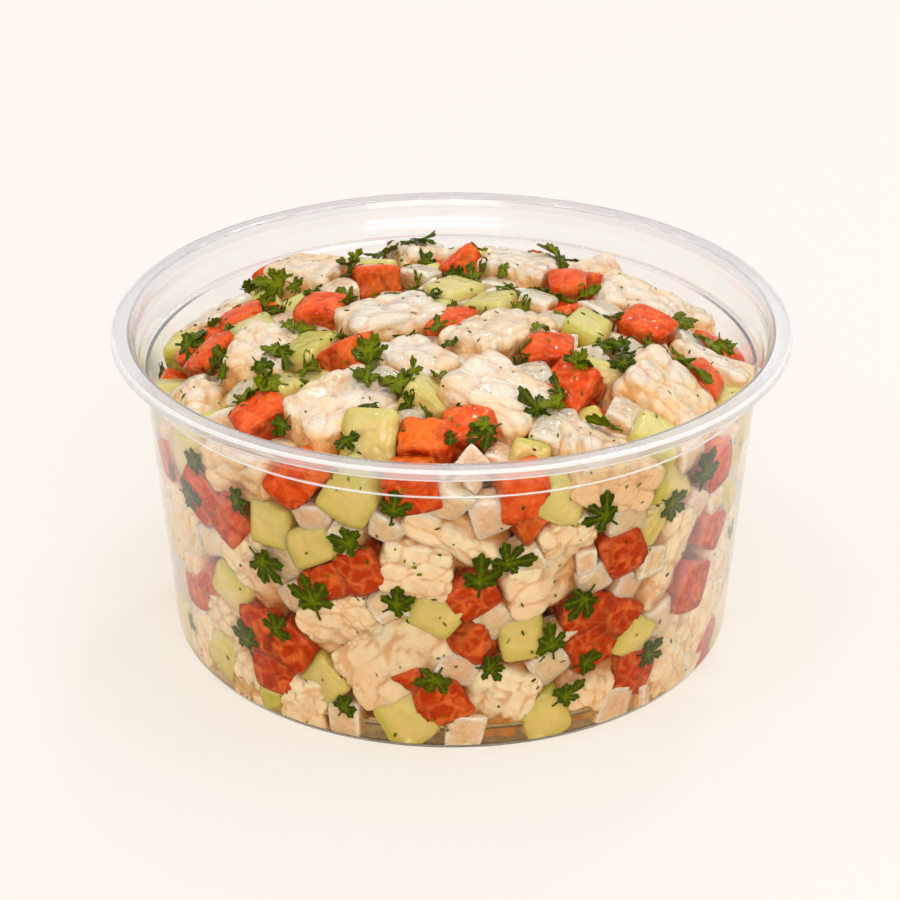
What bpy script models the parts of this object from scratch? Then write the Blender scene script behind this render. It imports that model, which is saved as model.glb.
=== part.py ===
"""A round clear plastic deli cup heaped with fish ceviche.

Blender 4.5. Metres, +Z up, origin at the middle of the cup's underside. Three solids:
the cup, the lime juice that has run to its floor, and the heap of diced food above it.
"""

import math
import random
from collections import namedtuple

import bmesh
import bpy

MM = 0.001

# The cup. Its rim is the common size that one deli lid fits.
RIM_RADIUS = 58.5 * MM
CUP_HEIGHT = 56.4 * MM
WALL = 0.7 * MM
FLANGE_INNER_RADIUS = 55.1 * MM  # where the flat flange ends and the cup's mouth begins
SKIRT_HEIGHT = 1.85 * MM  # the flange turns down at its edge by this much
EDGE_ROUND = 0.3 * MM
STEP_HEIGHT = 49.0 * MM  # the stacking step that runs round the wall
STEP_RISE = 0.5 * MM  # half of the step's height
STEP_WIDTH = 0.45 * MM
WALL_RADIUS_TOP = 53.1 * MM  # the wall's outside just under the step
WALL_RADIUS_BASE = 49.3 * MM  # the wall's outside, carried down to the base
BASE_CORNER = 1.3 * MM

# The contents.
GAP = 0.3 * MM  # between neighbouring solids
JUICE_LEVEL = 5.0 * MM
HEAP_EDGE = 47.2 * MM  # the height at which the heap meets the wall
CROWN = 8.3 * MM  # how much higher the middle of the heap stands
CHUNK_COUNT = 58
CHUNK_HALF_LENGTHS = (4.8 * MM, 8.0 * MM)  # from a dice of tomato to a long chunk of fish
CHUNK_WIDTH_SHARE = (0.7, 0.95)  # a chunk's width as a share of its length
CHUNK_RISES = (2.4 * MM, 4.6 * MM)  # how far a chunk stands out of the heap
CHUNK_SQUARENESS = 5  # 2 is an oval chunk, and a high number a sharp-cornered one
CHUNK_TILT = 0.22  # the steepest slope of a chunk's top
CHUNK_SEED = 11
CALM = 7.0 * MM  # the chunks sink into the heap over this distance from the wall

TURN_STEPS = 64
CORNER_STEPS = 3
HEAP_CUTS = 24  # cuts of each side of the six triangles that the heap's top starts from
MERGE = 0.00005

Chunk = namedtuple("Chunk", "x y turn half_length half_width rise slope_along slope_across")


def clear_scene():
    """Removes every object that the file opened with."""
    for obj in list(bpy.data.objects):
        bpy.data.objects.remove(obj)


def arc(middle, radius, start, end):
    """Points of an arc in the plane of radius and height, from one angle to another, in degrees."""
    angles = [math.radians(start + (end - start) * i / CORNER_STEPS) for i in range(CORNER_STEPS + 1)]
    return [(middle[0] + radius * math.cos(a), middle[1] + radius * math.sin(a)) for a in angles]


def wall_radius(height, inset=0.0):
    """The radius of the tapered wall's outside at a height below the step, less an inset."""
    return WALL_RADIUS_BASE + (WALL_RADIUS_TOP - WALL_RADIUS_BASE) * height / STEP_HEIGHT - inset


def base_corner(inset):
    """The round between base and wall, from the base out and up, at an inset from the cup's outside."""
    radius = BASE_CORNER - inset / 2
    middle = (wall_radius(inset + radius, inset) - radius, inset + radius)
    return arc(middle, radius, -90, 0)


def cup_profile():
    """The cup's section: down its outside from the flange, in under the base, and up its inside."""
    above_step = WALL_RADIUS_TOP + STEP_WIDTH
    edge = RIM_RADIUS - EDGE_ROUND
    flange_top = CUP_HEIGHT - EDGE_ROUND
    mouth = FLANGE_INNER_RADIUS + EDGE_ROUND
    skirt_foot = CUP_HEIGHT - SKIRT_HEIGHT
    step_foot, step_top = STEP_HEIGHT - STEP_RISE, STEP_HEIGHT + STEP_RISE
    flange = arc((mouth, flange_top), EDGE_ROUND, 180, 90) + arc((edge, flange_top), EDGE_ROUND, 90, 0)
    skirt = [
        (RIM_RADIUS, skirt_foot),
        (RIM_RADIUS - WALL, skirt_foot),
        (RIM_RADIUS - WALL, CUP_HEIGHT - WALL),
        (FLANGE_INNER_RADIUS + WALL, CUP_HEIGHT - WALL),
    ]
    outside = [(above_step, step_top), (WALL_RADIUS_TOP, step_foot)] + base_corner(0.0)[::-1] + [(0.0, 0.0)]
    inside = [(0.0, WALL)] + base_corner(WALL)
    inside += [(WALL_RADIUS_TOP - WALL, step_foot), (above_step - WALL, step_top)]
    return flange + skirt + outside + inside + flange[:1]


def juice_profile():
    """The pool of juice, a gap inside the cup: from its level surface down its side and in to the axis."""
    inset = WALL + GAP
    surface = [(0.0, JUICE_LEVEL), (wall_radius(JUICE_LEVEL, inset), JUICE_LEVEL)]
    return surface + base_corner(inset)[::-1] + [(0.0, inset)]


def turned(name, profile):
    """An object made by turning a section about Z."""
    mesh = bpy.data.meshes.new(name)
    points = [(radius, 0.0, height) for radius, height in profile]
    mesh.from_pydata(points, [(i, i + 1) for i in range(len(points) - 1)], [])
    obj = bpy.data.objects.new(name, mesh)
    screw = obj.modifiers.new("turn", "SCREW")
    screw.axis = "Z"
    screw.angle = math.tau
    screw.steps = TURN_STEPS
    screw.render_steps = TURN_STEPS
    screw.use_merge_vertices = True
    screw.merge_threshold = MERGE
    return obj


def scatter_chunks():
    """The chunks at the top of the heap, spread evenly over it by the spiral of a sunflower's seeds."""
    draw = random.Random(CHUNK_SEED)
    golden_angle = math.pi * (3 - math.sqrt(5))
    chunks = []
    for i in range(CHUNK_COUNT):
        distance = WALL_RADIUS_TOP * math.sqrt((i + draw.random()) / CHUNK_COUNT)
        angle = golden_angle * i
        half_length = draw.uniform(*CHUNK_HALF_LENGTHS)
        chunks.append(Chunk(
            x=distance * math.cos(angle),
            y=distance * math.sin(angle),
            turn=draw.uniform(0, math.pi),
            half_length=half_length,
            half_width=half_length * draw.uniform(*CHUNK_WIDTH_SHARE),
            rise=draw.uniform(*CHUNK_RISES),
            slope_along=draw.uniform(-CHUNK_TILT, CHUNK_TILT),
            slope_across=draw.uniform(-CHUNK_TILT, CHUNK_TILT),
        ))
    return chunks


def lift(x, y, chunk):
    """How far one chunk lifts the heap's surface: a tilted flat top that falls off at its sides."""
    dx, dy = x - chunk.x, y - chunk.y
    along = dx * math.cos(chunk.turn) + dy * math.sin(chunk.turn)
    across = dy * math.cos(chunk.turn) - dx * math.sin(chunk.turn)
    shares = (abs(along) / chunk.half_length, abs(across) / chunk.half_width)
    reach = sum(share**CHUNK_SQUARENESS for share in shares)
    top = chunk.rise + chunk.slope_along * along + chunk.slope_across * across
    return max(0.0, top * (1.0 - reach)) if reach < 1.0 else 0.0


def heap_top(share, angle, chunks):
    """A point of the heap's upper surface, for a share of the way out to the wall and an angle."""
    inset = WALL + GAP
    edge = wall_radius(HEAP_EDGE, inset)
    x, y = edge * share * math.cos(angle), edge * share * math.sin(angle)
    calm = min(1.0, (1.0 - share) * edge / CALM)
    height = HEAP_EDGE + CROWN * (1.0 - share**2) + calm * max(lift(x, y, chunk) for chunk in chunks)
    return x, y, height


def hexagon_share(x, y):
    """How far out a point lies in a hexagon with a corner at (0, 1), as a share of the way to its sides."""
    side_directions = [math.radians(a) for a in (0, 60, 120)]
    side_distance = math.cos(math.radians(30))
    return max(abs(x * math.cos(a) + y * math.sin(a)) for a in side_directions) / side_distance


def heap():
    """The heap: a fine hexagon rounded to a disc, raised into chunks, then a wall and a flat foot."""
    shape = bmesh.new()
    bmesh.ops.create_circle(shape, cap_ends=True, cap_tris=True, segments=6, radius=1.0)
    bmesh.ops.subdivide_edges(shape, edges=shape.edges, cuts=HEAP_CUTS, use_grid_fill=True)
    chunks = scatter_chunks()
    for vertex in shape.verts:
        share = hexagon_share(vertex.co.x, vertex.co.y)
        vertex.co = heap_top(share, math.atan2(vertex.co.y, vertex.co.x), chunks)
    rim = [edge for edge in shape.edges if edge.is_boundary]
    foot_height = JUICE_LEVEL + GAP
    foot_share = wall_radius(foot_height, WALL + GAP) / wall_radius(HEAP_EDGE, WALL + GAP)
    skirt = bmesh.ops.extrude_edge_only(shape, edges=rim)["geom"]
    for vertex in (v for v in skirt if isinstance(v, bmesh.types.BMVert)):
        vertex.co = (vertex.co.x * foot_share, vertex.co.y * foot_share, foot_height)
    foot = [edge for edge in skirt if isinstance(edge, bmesh.types.BMEdge)]
    bmesh.ops.contextual_create(shape, geom=foot)
    bmesh.ops.recalc_face_normals(shape, faces=shape.faces)
    mesh = bpy.data.meshes.new("ceviche_heap")
    shape.to_mesh(mesh)
    shape.free()
    return bpy.data.objects.new("ceviche_heap", mesh)


def finish(obj, colour, roughness, alpha=1.0, transmission=0.0):
    """Gives an object its own plain material and smooth shading."""
    material = bpy.data.materials.new(obj.name)
    material.use_nodes = True
    shader = material.node_tree.nodes["Principled BSDF"]
    shader.inputs["Base Color"].default_value = (*colour, 1.0)
    shader.inputs["Roughness"].default_value = roughness
    shader.inputs["Metallic"].default_value = 0.0
    shader.inputs["Alpha"].default_value = alpha
    shader.inputs["Transmission Weight"].default_value = transmission
    obj.data.materials.append(material)
    obj.data.shade_smooth()
    obj.data.set_sharp_from_angle(angle=math.radians(40))


def build():
    """Makes the three solids, each with its material, in a collection of their own."""
    clear_scene()
    group = bpy.data.collections.new("Ceviche in a deli cup")
    bpy.context.scene.collection.children.link(group)
    cup = turned("cup", cup_profile())
    juice = turned("lime_juice", juice_profile())
    food = heap()
    finish(cup, (0.92, 0.93, 0.94), roughness=0.05, alpha=0.35, transmission=1.0)
    finish(juice, (0.72, 0.58, 0.38), roughness=0.1, alpha=0.7)
    finish(food, (0.85, 0.72, 0.55), roughness=0.4)
    for obj in (cup, juice, food):
        group.objects.link(obj)


build()
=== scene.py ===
# %% [markdown]
# # Ceviche in a clear deli cup
#
# Ceviche is raw white fish, cut into chunks and turned firm and ivory by lime juice, mixed with diced
# tomato, cucumber and onion and chopped parsley leaves. Here it is heaped in a thin clear plastic cup.
# The solids of the cup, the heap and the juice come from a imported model, the frame. Each cell below makes
# one piece or one finish around that frame, at true size in metres.

import math
from itertools import product

import bmesh
import bpy
import numpy as np
from mathutils import Matrix, Vector
from mathutils.bvhtree import BVHTree


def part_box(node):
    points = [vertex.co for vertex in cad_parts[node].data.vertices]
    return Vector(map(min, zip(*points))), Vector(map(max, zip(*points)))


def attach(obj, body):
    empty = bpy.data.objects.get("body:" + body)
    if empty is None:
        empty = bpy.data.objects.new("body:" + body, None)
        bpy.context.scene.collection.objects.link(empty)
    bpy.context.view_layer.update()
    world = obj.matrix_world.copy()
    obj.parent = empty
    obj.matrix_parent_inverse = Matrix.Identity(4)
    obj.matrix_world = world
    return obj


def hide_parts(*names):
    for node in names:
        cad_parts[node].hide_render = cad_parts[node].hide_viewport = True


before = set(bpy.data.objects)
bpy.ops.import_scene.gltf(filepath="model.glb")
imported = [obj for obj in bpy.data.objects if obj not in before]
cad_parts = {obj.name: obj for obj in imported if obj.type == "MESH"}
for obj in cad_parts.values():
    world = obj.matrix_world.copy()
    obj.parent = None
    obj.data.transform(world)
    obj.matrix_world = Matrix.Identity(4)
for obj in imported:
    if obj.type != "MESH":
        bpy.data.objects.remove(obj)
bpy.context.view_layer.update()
MM = 0.001

# %% [markdown]
# ## Helpers that every cell uses
#
# Colours are read off real food as sRGB hex values, which is how colour pickers give them. Blender's
# shaders count light linearly, so one function turns a hex value into linear light. A second small
# function adds a node to any tree, shader or geometry, with its settings and links in one call.

# %% Colour and node helpers


def colour(code):
    """A hex colour such as "c0ffee" as linear red, green, blue and alpha."""
    channels = [int(code[i:i + 2], 16) / 255 for i in (0, 2, 4)]
    return (*[c / 12.92 if c <= 0.04045 else ((c + 0.055) / 1.055) ** 2.4 for c in channels], 1.0)


def add(tree, kind, inputs=None, **settings):
    """Adds a node. Each input, given by its name or number, is a value or another node's output socket."""
    made = tree.nodes.new(kind)
    for name, value in settings.items():
        setattr(made, name, value)
    for name, value in (inputs or {}).items():
        if isinstance(value, bpy.types.NodeSocket):
            tree.links.new(value, made.inputs[name])
        else:
            made.inputs[name].default_value = value
    return made


print("linear value of mid grey:", round(colour("808080")[0], 3))

# %% [markdown]
# ## The stage
#
# The cup stands on a seamless warm-white sweep, which is a wide plane here, since the camera looks down at
# it and never sees its edge. A real one is thin paper lit from below, so this one glows. A wide
# soft box stands in front, a smaller one hangs over the cup, and a bright room fills the shadows. Two
# very small boxes behind and at the left give wet food its sparks. In front of the cup the paper carries a
# painted reflection: reflections see a dark patch there, as they would a photographer's dark card, so that
# clear plastic keeps its edges.

# %% Floor, room light and soft boxes
PAPER_COLOUR = "8c99a8"
PAPER_GLOW = "d8c8b3"
ROOM_HIGH = "fffdf9"
ROOM_LOW = "b9b6b0"
ROOM_STRENGTH = 0.8
DARK_REFLECTION_COLOUR = "35291f"  # painted reflection: the paper in front of the cup looks dark to reflections only
DARK_REFLECTION_NEAR, DARK_REFLECTION_FAR = -48 * MM, -130 * MM  # how far forward it starts and ends
DARK_REFLECTION_SOFT_NEAR, DARK_REFLECTION_SOFT_FAR = 25 * MM, 20 * MM  # the widths over which its edges fade
DIM_ROOM = 0.85  # the share of the room's light that a gloss reflects
CUP_MIDDLE = Vector((0.0, 0.0, 30 * MM))


def plain_material(name, code, roughness):
    """A material of one colour, for what isn't part of the object."""
    made = bpy.data.materials.new(name)
    made.use_nodes = True
    shader = made.node_tree.nodes["Principled BSDF"]
    shader.inputs["Base Color"].default_value = colour(code)
    shader.inputs["Roughness"].default_value = roughness
    shader.inputs["Specular IOR Level"].default_value = 0.0
    return made


def soft_box(name, place, size, watts, tint):
    """A rectangular area light at a place, facing the cup."""
    lamp = bpy.data.lights.new(name, "AREA")
    lamp.shape = "RECTANGLE"
    lamp.size, lamp.size_y = size
    lamp.energy = watts
    lamp.color = colour(tint)[:3]
    obj = bpy.data.objects.new(name, lamp)
    obj.location = place
    obj.rotation_euler = (CUP_MIDDLE - Vector(place)).to_track_quat("-Z", "Y").to_euler()
    bpy.context.scene.collection.objects.link(obj)


def mirrored(tree):
    """1 for light that a gloss has reflected once, 0 for light seen directly or caught in the plastic."""
    ray = add(tree, "ShaderNodeLightPath")
    once = add(tree, "ShaderNodeMath", {0: ray.outputs["Glossy Depth"], 1: 1.0, 2: 0.5},
               operation="COMPARE")
    return once.outputs["Value"]


bpy.ops.mesh.primitive_plane_add(size=12)
floor = bpy.context.object
floor.name = "floor"
paper = plain_material("matt paper sweep, lit from below", PAPER_COLOUR, 1.0)
paper_tree = paper.node_tree
paper_shader = paper_tree.nodes["Principled BSDF"]
paper_shader.inputs["Emission Color"].default_value = colour(PAPER_GLOW)
paper_shader.inputs["Emission Strength"].default_value = 1.0
paper_place = add(paper_tree, "ShaderNodeTexCoord").outputs["Object"]
backward = add(paper_tree, "ShaderNodeSeparateXYZ", {0: paper_place}).outputs["Y"]
# painted reflection: a dark patch on the paper that only reflections see, fading at its near and far edges
dark_reflection_share = mirrored(paper_tree)
for start, end, share_at_start in ((DARK_REFLECTION_NEAR, DARK_REFLECTION_NEAR + DARK_REFLECTION_SOFT_NEAR, 1.0),
                                   (DARK_REFLECTION_FAR - DARK_REFLECTION_SOFT_FAR, DARK_REFLECTION_FAR, 0.0)):
    fade = add(paper_tree, "ShaderNodeMapRange", {
        "Value": backward, "From Min": start, "From Max": end,
        "To Min": share_at_start, "To Max": 1.0 - share_at_start}, interpolation_type="SMOOTHSTEP")
    dark_reflection_share = add(paper_tree, "ShaderNodeMath", {0: dark_reflection_share, 1: fade.outputs["Result"]},
                  operation="MULTIPLY").outputs["Value"]
dark_reflection = add(paper_tree, "ShaderNodeEmission", {"Color": colour(DARK_REFLECTION_COLOUR)})
paper_seen = add(paper_tree, "ShaderNodeMixShader", {
    0: dark_reflection_share, 1: paper_shader.outputs["BSDF"], 2: dark_reflection.outputs["Emission"]})
paper_tree.links.new(paper_seen.outputs["Shader"], paper_tree.nodes["Material Output"].inputs["Surface"])
floor.data.materials.append(paper)

room = bpy.data.worlds.new("bright room")
room.use_nodes = True
room_tree = room.node_tree
background = room_tree.nodes["Background"].inputs
direction = add(room_tree, "ShaderNodeTexCoord").outputs["Generated"]
upward = add(room_tree, "ShaderNodeSeparateXYZ", {0: direction}).outputs["Z"]
height_share = add(room_tree, "ShaderNodeMapRange", {"Value": upward, "From Min": 0.1, "From Max": 0.75})
room_light = add(room_tree, "ShaderNodeMix", {
    0: height_share.outputs["Result"], 6: colour(ROOM_LOW), 7: colour(ROOM_HIGH)}, data_type="RGBA")
room_tree.links.new(room_light.outputs[2], background["Color"])
room_strength = add(room_tree, "ShaderNodeMapRange", {
    "Value": mirrored(room_tree), "To Min": ROOM_STRENGTH, "To Max": ROOM_STRENGTH * DIM_ROOM})
room_tree.links.new(room_strength.outputs["Result"], background["Strength"])
bpy.context.scene.world = room

soft_box("overhead box", (0.5, 0.1, 1.4), (0.6, 0.45), 3.5, "fffdfa")
soft_box("front box", (0.2, -1.6, 0.95), (1.6, 0.5), 12.5, "fffbf6")
soft_box("back spark", (0.25, 0.7, 0.95), (0.12, 0.12), 1.8, "fffdfa")
soft_box("left spark", (-0.5, -0.25, 1.1), (0.12, 0.12), 1.4, "fffdfa")

bpy.context.scene.view_settings.view_transform = "Standard"

# %% [markdown]
# ## The camera
#
# A small cup is best seen from about half a metre through a long lens, which keeps the rim's ellipse
# calm. The camera looks down by 27 degrees at a point a little above the middle of the wall.

# %% Camera
CAMERA_DISTANCE = 450 * MM
CAMERA_DROP = math.radians(27.1)  # how far it looks down
LENS = 101.6  # millimetres, on a 36 mm wide sensor
aim = Vector((-0.25 * MM, 0.0, 30.2 * MM))

camera_data = bpy.data.cameras.new("camera")
camera_data.lens = LENS
camera_data.sensor_width = 36.0
camera_data.clip_start = 0.01
camera = bpy.data.objects.new("camera", camera_data)
away = Vector((0.0, -math.cos(CAMERA_DROP), math.sin(CAMERA_DROP)))
camera.location = aim + away * CAMERA_DISTANCE
camera.rotation_euler = (-away).to_track_quat("-Z", "Y").to_euler()
bpy.context.scene.collection.objects.link(camera)
bpy.context.scene.camera = camera
print("camera at (mm):", [round(v / MM) for v in camera.location])

# %% [markdown]
# ## Measures of the cup and of the heap
#
# Everything that lies in the cup has to know where its wall is. The outer sizes come from the frame's
# boxes; the wall's thickness, the stacking step and the flange are the ones the frame was built with.

# %% Measures
cup_high, heap_high, juice_high = [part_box(node)[1] for node in ("cup", "ceviche_heap", "lime_juice")]
RIM_RADIUS = cup_high[0]
CUP_HEIGHT = cup_high[2]
WALL = 0.7 * MM
FLANGE_INNER = RIM_RADIUS - 3.4 * MM
SKIRT = 1.85 * MM
STEP_HEIGHT = 49.0 * MM
STEP_RISE = 0.5 * MM
STEP_WIDTH = 0.45 * MM
RADIUS_UNDER_STEP = RIM_RADIUS - 5.4 * MM
RADIUS_AT_BASE = RIM_RADIUS - 9.0 * MM
BASE_CORNER = 0.8 * MM


def outer_radius(height):
    """The radius of the cup's outside at a height, as a number or an array."""
    below = RADIUS_AT_BASE + (RADIUS_UNDER_STEP - RADIUS_AT_BASE) * height / STEP_HEIGHT
    share = (height - STEP_HEIGHT) / (CUP_HEIGHT - STEP_HEIGHT)
    above = RADIUS_UNDER_STEP + STEP_WIDTH + (FLANGE_INNER + WALL - RADIUS_UNDER_STEP - STEP_WIDTH) * share
    return np.where(height < STEP_HEIGHT, below, above)


def inner_radius(height):
    """The radius of the cup's inside at a height."""
    return outer_radius(height) - WALL


print("inner radius at the floor, the step and the rim in mm:",
      [round(float(inner_radius(h)) / MM, 1) for h in (WALL, STEP_HEIGHT, CUP_HEIGHT)])

# %% [markdown]
# ## The cup
#
# A deli cup is drawn down from one hot sheet of clear polypropylene over a round mould, so each level of
# it is a circle and one section describes it all: a flat flange with a turned-down lip that the lid snaps
# over, a soft swelling under it, the stacking step, and a wall that narrows to a small round at the base.
# A Screw modifier could turn that section. Geometry Nodes do it here with Curve to Mesh, because the
# tree then has the radius and the number of segments as named inputs, and a finer cup is one number away.
# A section swept this way hangs below its path, so its heights are given as negative.

# %% The cup's section
BAND_MIDDLE = CUP_HEIGHT - 3.7 * MM  # a soft swelling of the wall that the lid's skirt grips
BAND_HALF = 1.7 * MM
BAND_BULGE = 0.35 * MM
BAND_POINTS = 10
BEAD = 0.12 * MM  # a fine ridge on the stacking step, which catches the light
EDGE_ROUND = 0.8 * MM  # the round at both edges of the flange
LIP_ROUND = 0.34 * MM  # the round of the lip's foot


def arc(middle, radius, start, end, steps):
    """Points on an arc in the plane of radius and height, between two angles in degrees."""
    angles = [math.radians(start + (end - start) * i / steps) for i in range(steps + 1)]
    return [(middle[0] + radius * math.cos(a), middle[1] + radius * math.sin(a)) for a in angles]


def cup_section():
    """The section of the cup: up the inside from the floor's middle, over the flange, down the outside."""
    def corner(inset):
        radius = BASE_CORNER - inset / 2
        wall_there = float(outer_radius(inset + radius)) - inset
        return arc((wall_there - radius, inset + radius), radius, -90, 0, 8)

    def wall_side(inset):
        under, over = STEP_HEIGHT - STEP_RISE / 2, STEP_HEIGHT + STEP_RISE / 2
        wall_over = float(outer_radius(over))
        levels = [(float(outer_radius(under)), under), (wall_over + BEAD, over),
                  (wall_over + BEAD, over + BEAD), (wall_over, over + 2 * BEAD)]
        for i in range(BAND_POINTS + 1):
            across = 2 * i / BAND_POINTS - 1
            height = BAND_MIDDLE + BAND_HALF * across
            bulge = BAND_BULGE * math.cos(math.pi / 2 * across) ** 2
            levels.append((float(outer_radius(height)) + bulge, height))
        return [(radius - inset, height) for radius, height in levels]

    edge, foot, ceiling = EDGE_ROUND, LIP_ROUND, CUP_HEIGHT - WALL
    inside = [(0.0, WALL)] + corner(WALL) + wall_side(WALL)
    flange = arc((FLANGE_INNER + edge, CUP_HEIGHT - edge), edge, 180, 90, 4)
    flange += arc((RIM_RADIUS - edge, CUP_HEIGHT - edge), edge, 90, 0, 5)
    lip = arc((RIM_RADIUS - foot, CUP_HEIGHT - SKIRT + foot), foot, 0, -180, 6)
    lip += [(RIM_RADIUS - 2 * foot, ceiling), (FLANGE_INNER + WALL, ceiling)]
    outside = wall_side(0.0)[::-1] + corner(0.0)[::-1] + [(0.0, 0.0)]
    return inside + flange + lip + outside


section = cup_section()
print("the cup's section has", len(section), "points")

# %% Sweep the section with Geometry Nodes


def new_tree(name, **sockets):
    """A geometry tree with named inputs of the given types, and its group's input and output sockets."""
    tree = bpy.data.node_groups.new(name, "GeometryNodeTree")
    tree.interface.new_socket("Geometry", in_out="OUTPUT", socket_type="NodeSocketGeometry")
    for title, kind in sockets.items():
        tree.interface.new_socket(title, in_out="INPUT", socket_type="NodeSocket" + kind)
    return tree, tree.nodes.new("NodeGroupInput").outputs, tree.nodes.new("NodeGroupOutput").inputs


def grown(name, tree, base=None, **values):
    """Runs a geometry tree on a base mesh with values for its inputs, and returns a plain mesh object."""
    obj = bpy.data.objects.new(name, base or bpy.data.meshes.new(name))
    bpy.context.scene.collection.objects.link(obj)
    modifier = obj.modifiers.new("grow", "NODES")
    modifier.node_group = tree
    for socket in tree.interface.items_tree:
        if socket.in_out == "INPUT" and socket.name in values:
            modifier[socket.identifier] = values[socket.name]
    graph = bpy.context.evaluated_depsgraph_get()
    mesh = bpy.data.meshes.new_from_object(obj.evaluated_get(graph))
    obj.modifiers.remove(modifier)
    obj.data = mesh
    mesh.name = name
    return obj


def finish_tree(tree, geometry, given, result):
    """Ends a tree: makes its instances real, gives all of it the tree's material and hands it out."""
    real = add(tree, "GeometryNodeRealizeInstances", {"Geometry": geometry})
    painted = add(tree, "GeometryNodeSetMaterial",
                  {"Geometry": real.outputs["Geometry"], "Material": given["Material"]})
    tree.links.new(painted.outputs["Geometry"], result[0])


def hidden_object(name, mesh):
    """An object that a tree reads. It is never shown."""
    obj = bpy.data.objects.new(name, mesh)
    obj.hide_render = True
    bpy.context.scene.collection.objects.link(obj)
    return obj


MERGE = 0.005 * MM
SHARP_ANGLE = math.radians(38)
turn_tree, given, result = new_tree("turn a section", Section="Object", Path_Radius="Float",
                                    Segments="Int", Material="Material")
outline = add(turn_tree, "GeometryNodeObjectInfo", {"Object": given["Section"]})
outline = add(turn_tree, "GeometryNodeMeshToCurve", {"Mesh": outline.outputs["Geometry"]})
path = add(turn_tree, "GeometryNodeCurvePrimitiveCircle",
           {"Resolution": given["Segments"], "Radius": given["Path_Radius"]})
swept = add(turn_tree, "GeometryNodeCurveToMesh",
            {"Curve": path.outputs["Curve"], "Profile Curve": outline.outputs["Curve"]})
merged = add(turn_tree, "GeometryNodeMergeByDistance",
             {"Geometry": swept.outputs["Mesh"], "Distance": MERGE})
finish_tree(turn_tree, merged.outputs["Geometry"], given, result)


def turned(name, points, segments, material):
    """A closed body turned from a section that starts and ends on the axis."""
    outline_mesh = bpy.data.meshes.new(name + "_section")
    outline_mesh.from_pydata([(radius - RIM_RADIUS, -height, 0.0) for radius, height in points],
                             [(i, i + 1) for i in range(len(points) - 1)], [])
    guide = hidden_object(name + "_section", outline_mesh)
    obj = grown(name, turn_tree, Section=guide, Path_Radius=RIM_RADIUS, Segments=segments,
                Material=material)
    bpy.data.objects.remove(guide)
    shape = bmesh.new()
    shape.from_mesh(obj.data)
    bmesh.ops.remove_doubles(shape, verts=shape.verts, dist=MERGE)
    bmesh.ops.recalc_face_normals(shape, faces=shape.faces)
    shape.to_mesh(obj.data)
    shape.free()
    obj.data.shade_smooth()
    obj.data.set_sharp_from_angle(angle=SHARP_ANGLE)
    return obj


def triangles(obj):
    """How many triangles an object's mesh comes to."""
    return sum(len(face.vertices) - 2 for face in obj.data.polygons)


# %% [markdown]
# ## Clear polypropylene
#
# The cup is a glossy drawn sheet: almost no colour, and a very slight unevenness from the drawing, which
# bends the highlights. Glass with full refraction would do, but solid plastic's index of 1.49 shifts what
# lies behind it more than a wall this thin does, so a lower one is used. Lamps and bounced light pass
# straight through, because a renderer finds hardly any light through a refracting wall. The pressed flange
# is a little cloudy, and the flange's edges, the lip's foot and the step's ridge get a whiter, cloudier
# finish as a painted highlight: those are two more finishes.

# %% Clear polypropylene
SEGMENTS = 192


def bare_material(name):
    """A material with an empty tree."""
    made = bpy.data.materials.new(name)
    made.use_nodes = True
    made.node_tree.nodes.clear()
    return made, made.node_tree


def let_light_by(tree, shader, tint):
    """Ends a tree with a shader that lamps and bounced light pass straight through, a little tinted."""
    ray = add(tree, "ShaderNodeLightPath")
    through = add(tree, "ShaderNodeBsdfTransparent", {"Color": tint})
    for kind_of_light in ("Is Shadow Ray", "Is Diffuse Ray"):
        mixed = add(tree, "ShaderNodeMixShader", {
            0: ray.outputs[kind_of_light], 1: shader, 2: through.outputs["BSDF"]})
        shader = mixed.outputs["Shader"]
    add(tree, "ShaderNodeOutputMaterial", {"Surface": shader})


def clear_plastic(name, tint, clearness, roughness, unevenness):
    """Clear plastic: clearness is the share of the light that isn't scattered by its body."""
    made, tree = bare_material(name)
    place = add(tree, "ShaderNodeTexCoord").outputs["Object"]
    draw_lines = add(tree, "ShaderNodeMapping", {"Vector": place, "Scale": (1.0, 1.0, 0.25)})
    ripple = add(tree, "ShaderNodeTexNoise",
                 {"Vector": draw_lines.outputs["Vector"], "Scale": 1 / (9 * MM), "Detail": 1.0})
    bump = add(tree, "ShaderNodeBump",
               {"Height": ripple.outputs["Fac"], "Strength": unevenness, "Distance": 0.15 * MM})
    shell = add(tree, "ShaderNodeBsdfPrincipled", {
        "Base Color": colour(tint), "Roughness": roughness, "IOR": 1.3, "Transmission Weight": clearness,
        "Normal": bump.outputs["Normal"], "Coat Weight": 0.5, "Coat Roughness": 0.03})
    let_light_by(tree, shell.outputs["BSDF"], (0.99, 0.99, 0.99, 1.0))
    return made


def finish_there(radius, height):
    """The finish at a place on the cup: 0 the wall, 1 the flange, 2 an edge made whiter as a painted
    highlight.
    """
    over_step = height - STEP_HEIGHT
    if -STEP_RISE / 2 < over_step < STEP_RISE / 2 + 2 * BEAD:
        outside = radius > float(inner_radius(height)) + 0.5 * WALL
        return 2 if outside and over_step > STEP_RISE / 2 else 1
    if radius < FLANGE_INNER + 0.3 * MM or height < CUP_HEIGHT - SKIRT - 0.1 * MM:
        return 0
    at_edge = radius > RIM_RADIUS - 0.5 * MM and height > CUP_HEIGHT - 0.6 * MM
    at_foot = radius > RIM_RADIUS - 0.4 * MM and height < CUP_HEIGHT - SKIRT + 0.4 * MM
    return 2 if at_edge or at_foot else 1


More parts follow.
